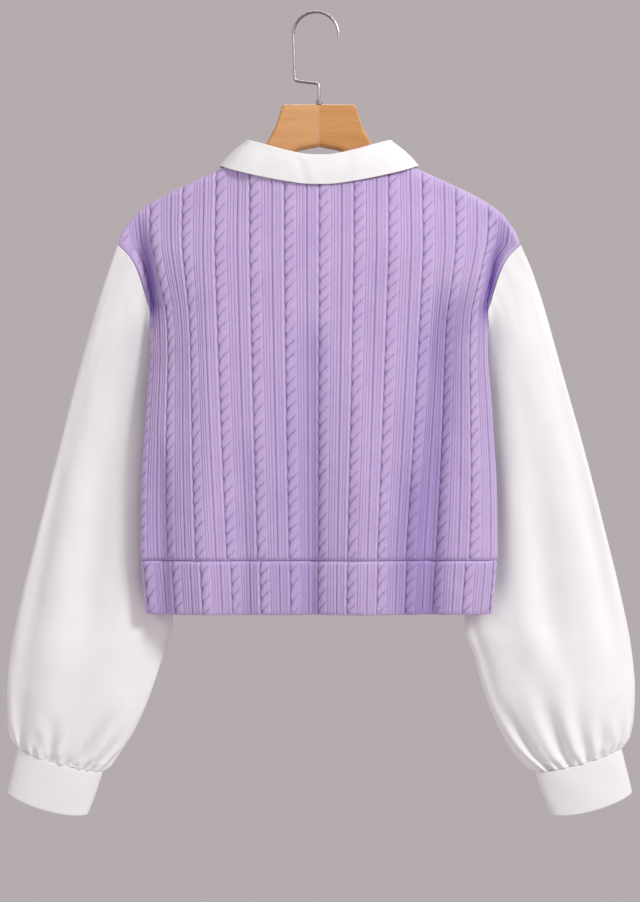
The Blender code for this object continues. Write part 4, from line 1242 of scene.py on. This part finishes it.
def sleeve_form(side, angle, t):
    points = tube_section(SLEEVE, SLEEVE_STRAY, side, angle, t)
    top = tube_section(SLEEVE, SLEEVE_STRAY, side, angle, np.zeros_like(t))
    kept = np.where(t < ARMHOLE_FADE, 1 - smooth_step(t / ARMHOLE_FADE), 0)
    return points + (armhole_rim(side, angle) - top) * kept[..., None]


middle_x, middle_z = ((SLEEVE["outer_" + name] + SLEEVE["inner_" + name]) / 2 for name in "xz")
print("sleeve: about", round(float(np.hypot(np.diff(middle_x), np.diff(middle_z)).sum()), 2), "m long")

# %% Puckers and long folds
# turn is the way round from the sleeve's outer edge: 0.25 is the middle of the back, 0.5 the inner
# edge and 0.75 the middle of the front. lean is how far round the pucker moves on its way up.
PUCKERS = {
    -1: table(
        "turn length depth width lean",
        (0.035, 0.034, 0.0023, 0.0028, 0.010),
        (0.090, 0.085, 0.0032, 0.0050, 0.030),
        (0.148, 0.030, 0.0020, 0.0022, 0.012),
        (0.194, 0.026, 0.0029, 0.0020, -0.010),
        (0.215, 0.046, 0.0043, 0.0022, -0.006),
        (0.236, 0.012, 0.0023, 0.0016, 0.000),
        (0.273, 0.014, 0.0026, 0.0018, 0.004),
        (0.302, 0.078, 0.0038, 0.0030, 0.040),
        (0.345, 0.015, 0.0026, 0.0018, 0.004),
        (0.385, 0.052, 0.0029, 0.0026, 0.020),
        (0.440, 0.030, 0.0023, 0.0026, 0.010),
        (0.520, 0.044, 0.0026, 0.0030, -0.010),
        (0.575, 0.066, 0.0035, 0.0030, 0.012),
        (0.628, 0.022, 0.0026, 0.0020, 0.000),
        (0.668, 0.092, 0.0041, 0.0032, -0.022),
        (0.712, 0.018, 0.0026, 0.0020, 0.000),
        (0.752, 0.052, 0.0038, 0.0026, 0.012),
        (0.797, 0.028, 0.0026, 0.0020, 0.006),
        (0.838, 0.072, 0.0038, 0.0030, -0.020),
        (0.895, 0.034, 0.0026, 0.0026, 0.000),
        (0.955, 0.040, 0.0023, 0.0030, 0.006),
    ),
    1: table(
        "turn length depth width lean",
        (0.020, 0.030, 0.0020, 0.0026, 0.004),
        (0.080, 0.042, 0.0029, 0.0026, 0.018),
        (0.124, 0.018, 0.0020, 0.0018, 0.004),
        (0.163, 0.044, 0.0032, 0.0024, 0.000),
        (0.218, 0.068, 0.0038, 0.0026, 0.002),
        (0.250, 0.014, 0.0026, 0.0016, 0.000),
        (0.282, 0.120, 0.0049, 0.0034, 0.004),
        (0.322, 0.016, 0.0023, 0.0018, 0.004),
        (0.365, 0.086, 0.0041, 0.0030, 0.030),
        (0.412, 0.034, 0.0026, 0.0024, 0.010),
        (0.470, 0.028, 0.0023, 0.0028, 0.000),
        (0.545, 0.050, 0.0026, 0.0030, -0.012),
        (0.605, 0.074, 0.0035, 0.0028, -0.006),
        (0.655, 0.020, 0.0026, 0.0020, 0.000),
        (0.695, 0.058, 0.0038, 0.0026, 0.016),
        (0.738, 0.100, 0.0041, 0.0034, -0.014),
        (0.782, 0.022, 0.0026, 0.0020, 0.000),
        (0.826, 0.048, 0.0035, 0.0026, 0.010),
        (0.878, 0.070, 0.0032, 0.0030, -0.018),
        (0.940, 0.032, 0.0023, 0.0028, 0.000),
    ),
}
LONG_FOLDS = {
    -1: table(
        "turn foot_turn top foot depth width",
        (0.085, 0.120, 0.16, 0.98, 0.0030, 0.0120),
        (0.150, 0.205, 0.30, 1.04, -0.0027, 0.0150),
        (0.240, 0.255, 0.10, 0.80, 0.0025, 0.0140),
        (0.330, 0.300, 0.22, 0.96, -0.0023, 0.0160),
        (0.410, 0.360, 0.06, 0.74, 0.0036, 0.0110),
        (0.590, 0.640, 0.08, 0.80, 0.0033, 0.0120),
        (0.680, 0.700, 0.24, 0.98, -0.0025, 0.0160),
        (0.770, 0.760, 0.12, 0.86, 0.0029, 0.0130),
        (0.880, 0.850, 0.20, 0.96, 0.0027, 0.0120),
    ),
    1: table(
        "turn foot_turn top foot depth width",
        (0.075, 0.110, 0.12, 0.84, 0.0025, 0.0110),
        (0.140, 0.165, 0.28, 1.00, -0.0024, 0.0160),
        (0.215, 0.240, 0.14, 0.92, 0.0027, 0.0130),
        (0.300, 0.265, 0.34, 1.06, -0.0033, 0.0120),
        (0.385, 0.330, 0.05, 0.70, 0.0036, 0.0120),
        (0.450, 0.410, 0.30, 0.95, 0.0021, 0.0100),
        (0.585, 0.630, 0.10, 0.86, 0.0030, 0.0120),
        (0.665, 0.690, 0.26, 1.02, -0.0027, 0.0150),
        (0.755, 0.740, 0.10, 0.78, 0.0030, 0.0130),
        (0.870, 0.835, 0.18, 0.94, 0.0027, 0.0130),
    ),
}


def round_gap(turn, place, width_round):
    """Metres round the tube from a place, by the short way."""
    return ((turn - place + 0.5) % 1.0 - 0.5) * width_round


def pucker_depth(side, turn, above, girth):
    """How far the cloth falls in, at metres above the cuff's seam."""
    fall = np.zeros_like(turn)
    for place, length, deep, width, lean in zip(*PUCKERS[side].values()):
        rise = above / length
        along = smooth_step(rise / 0.10 + 0.55) * smooth_step((1.25 - rise) / 1.0)
        spread = width * (1 + 1.7 * np.clip(rise, 0, 1.3))
        gap = round_gap(turn, place + lean * rise, girth) / spread
        fall += deep * along * (np.exp(-(gap**2)) - 0.45 * np.exp(-(((gap - 1.9) / 0.9) ** 2)))
        fall -= deep * along * 0.35 * np.exp(-(((gap + 2.0) / 1.0) ** 2))
    return fall


def fold_fall(side, turn, t, girth):
    fall = np.zeros_like(turn)
    for place, foot_place, top, foot, deep, width in zip(*LONG_FOLDS[side].values()):
        way = np.clip((t - top) / (foot - top), 0, 1)
        along = np.sin(math.pi * way) ** 1.2
        gap = round_gap(turn, place + (foot_place - place) * way, girth) / width
        fall += deep * along * np.exp(-(gap**2))
    return fall


# %% Make the sleeves
def tube_piece(name, points, rows, wall, end_axis, fall, shade, cut, material):
    """A tube of cloth whose flat cut is given as its size round and its length."""
    normals = grid_normals(points, closed=True)
    centre = points.mean(0, keepdims=True)
    if (normals * (points - centre)).sum() < 0:
        normals = -normals
    for rim, axis in end_axis.items():
        flat = normals[:, rim] - axis * (normals[:, rim] @ axis)[:, None]
        normals[:, rim] = unit(flat)
    points = points - normals * fall[..., None]
    steps = np.linalg.norm(np.diff(points, axis=1), axis=-1)
    down = np.concatenate([np.zeros((ROUND_POINTS, 1)), np.cumsum(steps, 1)], 1)
    half = rounded(np.minimum(down, down[:, -1:] - down), wall / 2)
    angles, ts = np.meshgrid(ROUND_ANGLES, rows, indexing="ij")
    cloth = np.stack([angles / math.tau * cut[0], ts * cut[1]], -1)
    skins = two_skins(ROUND_ANGLES, rows, points, normals, half, cloth, (2, 3))
    skins[1] = {key: drop_last(key, value) for key, value in skins[1].items()}
    skins[0]["shade"] = shade
    item = build_wall(name, *skins, closed=True, round_length=cut[0])
    item.data.materials.append(material)
    tell(item, points, closed=True)
    return item


def drop_last(key, value):
    """The inside of a tube keeps an even spacing, without the column beside its first."""
    return value if key == "down" else value[:-1]


def sleeve_shade(points, turn, fall):
    """Painted shade on the cloth: the body's shadow on the sleeve beside it, and shade in the puckers."""
    z = points[..., 2]
    beside = np.maximum(np.abs(points[..., 0] - MIDDLE_X) - edge_x(z), 0)
    level = smooth_step((ARMPIT_Z + 0.02 - z) / 0.05) * smooth_step((z - HEM_Z) / 0.04)
    # Painted shadow of the body, on the back of the sleeve beside it.
    body_shadow = np.exp(-((beside / 0.024) ** 2)) * level * smooth_step((0.55 - turn) / 0.1)
    return np.clip(0.62 * body_shadow + 0.42 * np.clip(fall / 0.005, 0, 1), 0, 1)


SIDES = (("left", -1), ("right", 1))
ROUND_POINTS = 240
ROUND_ANGLES = np.arange(ROUND_POINTS) * math.tau / ROUND_POINTS
SLEEVE_ROWS = np.concatenate(
    [[0, 0.0004, 0.0011], np.linspace(0.003, 0.84, 150), np.linspace(0.8425, 0.9972, 86), [0.9985, 0.9995, 1]]
)
SLEEVE_CUT, PUFF = (0.365, 0.580), 0.0012
shirt_pieces = {}
for word, side in SIDES:
    angles, ts = np.meshgrid(ROUND_ANGLES, SLEEVE_ROWS, indexing="ij")
    form = sleeve_form(side, angles, ts)
    form[..., 0] += MIDDLE_X
    runs = np.linalg.norm(np.diff(form, axis=1), axis=-1)[:, ::-1].cumsum(1)[:, ::-1]
    above = np.concatenate([runs, np.zeros((ROUND_POINTS, 1))], 1)
    girth = np.linalg.norm(form - np.roll(form, 1, 0), axis=-1).sum(0)[None, :]
    turn = angles / math.tau
    fall = pucker_depth(side, turn, above, girth) + fold_fall(side, turn, ts, girth)
    fall -= PUFF * smooth_step(above / 0.012) * smooth_step((0.07 - above) / 0.07)
    fall *= smooth_step(ts / 0.10)
    end = unit((form[:, -1] - form[:, -12]).mean(0))
    shirt_pieces["sleeve_" + word] = tube_piece(
        "shirt_sleeve_" + word, form, SLEEVE_ROWS, SHIRT_WALL, {-1: end}, fall,
        sleeve_shade(form, turn, fall), SLEEVE_CUT, SLEEVE_CLOTH,
    )

# %% [markdown]
# ## Cuffs
#
# A shirt cuff is two or three layers, pressed flat, so it is smooth and keeps its edges. It is a
# short tube on the same path as the sleeve, and only swells a little between its two rims.

# %% Make the cuffs
CUFF_ROWS = np.concatenate([[0, 0.008, 0.022], np.linspace(0.045, 0.955, 30), [0.978, 0.992, 1]])
CUFF_CUT, CUFF_SWELL, CUFF_WAVER = (0.205, 0.053), 0.0004, 0.0003
for word, side in SIDES:
    angles, ts = np.meshgrid(ROUND_ANGLES, CUFF_ROWS, indexing="ij")
    form = tube_section(CUFF, CUFF_STRAY, side, angles, ts)
    form[..., 0] += MIDDLE_X
    axis = unit((form[:, -1] - form[:, 0]).mean(0))
    arch = np.sin(math.pi * ts)
    swell = CUFF_WAVER * np.sin(5 * angles + 3 * ts + side) * arch - CUFF_SWELL * arch
    shirt_pieces["cuff_" + word] = tube_piece(
        "shirt_cuff_" + word, form, CUFF_ROWS, CUFF_WALL, {0: axis, -1: axis}, swell,
        np.zeros_like(swell), CUFF_CUT, PRESSED_CLOTH,
    )

# %% [markdown]
# ## The collar
#
# A shirt collar is two pieces. The stand is sewn round the neckline and rises from it, and the
# leaf is sewn to its top, folds over and falls outside. Both run round the neck from one side of
# the front to the other, so one number, q, says how far round a point is, and a table gives the
# fold and the leaf's edge there.

# %% The collar's form
COLLAR = table(
    "q fold_x fold_y fold_z edge_x edge_y edge_z",
    (0.00, 0.0000, -0.0160, -0.1578, 0.0000, -0.0214, -0.1902),
    (0.04, 0.0095, -0.0160, -0.1576, 0.0115, -0.0214, -0.1900),
    (0.14, 0.0330, -0.0148, -0.1534, 0.0400, -0.0208, -0.1862),
    (0.27, 0.0600, -0.0100, -0.1458, 0.0780, -0.0172, -0.1782),
    (0.36, 0.0735, -0.0040, -0.1416, 0.1000, -0.0096, -0.1718),
    (0.43, 0.0768, 0.0040, -0.1403, 0.1096, 0.0055, -0.1672),
    (0.475, 0.0762, 0.0085, -0.1437, 0.1088, 0.0150, -0.1685),
    (0.52, 0.0745, 0.0130, -0.1480, 0.1070, 0.0240, -0.1815),
    (0.65, 0.0630, 0.0205, -0.1700, 0.0960, 0.0285, -0.2120),
    (0.80, 0.0390, 0.0250, -0.2030, 0.0770, 0.0296, -0.2480),
    (0.92, 0.0160, 0.0275, -0.2270, 0.0580, 0.0300, -0.2780),
    (1.00, 0.0025, 0.0285, -0.2380, 0.0450, 0.0302, -0.2940),
)
SHOULDER_Q = 0.43
LEAF_SPREAD, LEAF_DROP, LEAF_BULGE, STAND_TOP, LEAF_FOLD = 0.0036, 0.0030, 0.0014, 0.0034, 0.2
fold_line = {name: curve(COLLAR, "q", "fold_" + name) for name in "xyz"}
leaf_edge = {name: curve(COLLAR, "q", "edge_" + name) for name in "xyz"}


def on_line(line, q):
    point = [line[name](np.abs(q)) for name in "xyz"]
    return np.stack([np.sign(q) * point[0], point[1], point[2]], -1)


def neck_point(q):
    reach = np.abs(q)
    at_back = reach < SHOULDER_Q
    turn = np.where(at_back, reach / SHOULDER_Q, (1 - reach) / (1 - SHOULDER_Q))
    x = NECK_X * np.sin(np.minimum(turn, 1.0) * math.pi / 2)
    x = np.where(at_back, x, np.maximum(x, 0.0015))
    y = np.where(at_back, neck_y["back"](x), neck_y["front"](x))
    z = np.where(at_back, neck_z["back"](x), neck_z["front"](x))
    return np.stack([np.sign(q) * x, y, z], -1)


def across_line(line, q, direction):
    near = np.clip(q, -0.99, 0.99)
    tangent = unit(line(near + 0.01) - line(near - 0.01))
    return unit(direction - tangent * (direction * tangent).sum(-1, keepdims=True))


def fold_frame(q):
    def line(place):
        return on_line(fold_line, place)

    fold, edge = line(q), on_line(leaf_edge, q)
    up = across_line(line, q, fold - neck_point(q))
    out = across_line(line, q, edge - fold)
    return fold, up, unit(out - up * (out * up).sum(-1, keepdims=True))


def stand_surface(q, v):
    fold, up, _ = fold_frame(q)
    neck = neck_point(q)
    on_side = (neck[..., 0] / NECK_X) ** 2
    in_front = smooth_step((np.abs(q) - SHOULDER_Q) / 0.2)
    lift = SEAM_GAP + 0.0003 + (KNIT_WALL / 2 + 0.0002) * on_side + 0.0006 * in_front
    foot = neck + across_line(neck_point, q, fold - neck) * lift[..., None]
    return foot + (fold - up * STAND_TOP - foot) * v[..., None]


def leaf_surface(q, v):
    fold, up, out = fold_frame(q)
    angle = math.pi * np.minimum(v, LEAF_FOLD) / LEAF_FOLD
    rise = (LEAF_DROP * np.sin(angle) - LEAF_DROP)[..., None]
    over = fold + out * (LEAF_SPREAD / 2) * (1 - np.cos(angle))[..., None] + up * rise
    share = np.clip((v - LEAF_FOLD) / (1 - LEAF_FOLD), 0, 1)[..., None]
    start = fold + out * LEAF_SPREAD - up * LEAF_DROP
    falls = start + (on_line(leaf_edge, q) - start) * share
    falls = falls + (out + up * 0.5) * LEAF_BULGE * np.sin(math.pi * share)
    return np.where((v <= LEAF_FOLD)[..., None], over, falls)


# %% Make the collar
# Pressed cloth that has been folded keeps a few faint creases. top_x and foot_x are where each
# crosses the leaf, from the garment's middle, and a negative depth stands out.
LEAF_CREASES = table(
    "top_x foot_x depth width",
    (-0.0560, -0.0640, 0.0004, 0.0080),
    (-0.0240, -0.0150, 0.0005, 0.0042),
    (-0.0130, -0.0030, -0.0004, 0.0060),
    (0.0340, 0.0230, 0.0005, 0.0060),
    (0.0480, 0.0420, -0.0003, 0.0070),
    (0.0640, 0.0760, 0.0003, 0.0070),
)


def collar_piece(name, surface, columns, rows, creased):
    q = np.linspace(-1, 1, columns)
    q = np.unique(np.concatenate([q, [-0.999, -0.9965, 0.9965, 0.999]]))
    v = np.concatenate([[0, 0.006, 0.02], np.linspace(0.045, 0.97, rows), [0.985, 0.994, 1]])
    qs, vs = np.meshgrid(q, v, indexing="ij")
    points = surface(qs, vs)
    normals = grid_normals(points)
    if creased:
        share = np.clip((vs - LEAF_FOLD) / (1 - LEAF_FOLD), 0, 1)
        at_back = (np.abs(qs) < SHOULDER_Q) * smooth_step(share / 0.15)
        for top_x, foot_x, deep, width in zip(*LEAF_CREASES.values()):
            gap = (points[..., 0] - (top_x + (foot_x - top_x) * share)) / width
            points = points + normals * (deep * at_back * np.exp(-(gap**2)))[..., None]
    points[..., 0] += MIDDLE_X
    runs = [np.linalg.norm(np.diff(points, axis=k), axis=-1).cumsum(k) for k in (0, 1)]
    along = np.concatenate([np.zeros((1, len(v))), runs[0]], 0)
    down = np.concatenate([np.zeros((len(q), 1)), runs[1]], 1)
    to_rim = np.minimum(np.minimum(along, along[-1:] - along), np.minimum(down, down[:, -1:] - down))
    half = rounded(to_rim, SHIRT_WALL / 2)
    skins = two_skins(q, v, points, normals, half, np.stack([along, down], -1), (1, 1))
    item = build_wall(name, *skins)
    item.data.materials.append(PRESSED_CLOTH)
    tell(item, points)
    return item


shirt_pieces["collar_leaf"] = collar_piece("shirt_collar_leaf", leaf_surface, 300, 44, True)
shirt_pieces["collar_stand"] = collar_piece("shirt_collar_stand", stand_surface, 160, 8, False)

# %% Attach each shirt piece to the model, and hide the solid it replaces
for node, item in shirt_pieces.items():
    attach(item, "root")
    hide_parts(node)
    word = node.split("_")[-1]
    below = {"sleeve": "knit_back", "cuff": "shirt_sleeve_" + word, "collar": "knit_back"}[node.split("_")[0]]

# %% [markdown]
# ## The hanger
#
# Its two arms are cut from plain wood, mitred at the middle and lacquered, the left one a little
# lighter. The grain runs along each arm. The hook is plated wire in a small metal ring. The
# solids already have the right shape, so they only get their finish.


# %% Wood and metal
def object_place(tree, turn, scale):
    place = tree.nodes.new("ShaderNodeTexCoord")
    return mapped(tree, place.outputs["Object"], scale, turn)


def wood_finish(name, turn, dark, middle, light):
    material, tree, shader = new_material(
        name, Roughness=0.55, Specular_IOR_Level=0.22, Coat_Weight=0.05, Coat_Roughness=0.45
    )
    figure = noise(tree, object_place(tree, (0, turn, 0), (9.0, 60.0, 60.0)), 1.6, 4.0, 0.6)
    lines = noise(tree, object_place(tree, (0, turn, 0), (25.0, 420.0, 420.0)), 1.0, 3.0, 0.6)
    tone = figure * 0.7 + lines * 0.3
    color = color_ramp(tree, tone, (0.34, dark), (0.52, middle), (0.70, light))
    dress(tree, shader, color, bump(tree, lines, 0.00010, 0.4))
    return material


DULL_METAL, BRIGHT_METAL = (0.22, 0.21, 0.215), (0.32, 0.31, 0.315)


def metal_finish():
    material, tree, shader = new_material("plated_wire", Metallic=1.0)
    haze = noise(tree, object_place(tree, (0, 0, 0), (1, 1, 1)), 160.0, 3.0)
    tree.links.new((haze * 0.10 + 0.34).socket, shader.inputs["Roughness"])
    color = color_ramp(tree, haze, (0.3, DULL_METAL), (0.7, BRIGHT_METAL))
    tree.links.new(color, shader.inputs["Base Color"])
    return material


ARM_SLOPE = math.radians(24)
FINISHES = {
    "hanger_arm_left": wood_finish(
        "light_wood", -ARM_SLOPE, (0.590, 0.300, 0.115), (0.640, 0.345, 0.145), (0.680, 0.390, 0.180)
    ),
    "hanger_arm_right": wood_finish(
        "deeper_wood", ARM_SLOPE, (0.520, 0.245, 0.080), (0.570, 0.285, 0.105), (0.620, 0.330, 0.135)
    ),
    "hanger_hook": metal_finish(),
}
FINISHES["hanger_ferrule"] = FINISHES["hanger_hook"]
for node, finish in FINISHES.items():
    for slot in bpy.data.objects[node].material_slots:
        slot.link = "OBJECT"
        slot.material = finish
    print(node, "is finished with", finish.name)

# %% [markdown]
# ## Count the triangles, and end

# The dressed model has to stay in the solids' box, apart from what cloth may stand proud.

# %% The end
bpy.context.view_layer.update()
made = [*knits.values(), *shirt_pieces.values()]
print("triangles:", {item.name: sum(len(face.vertices) - 2 for face in item.data.polygons) for item in made})
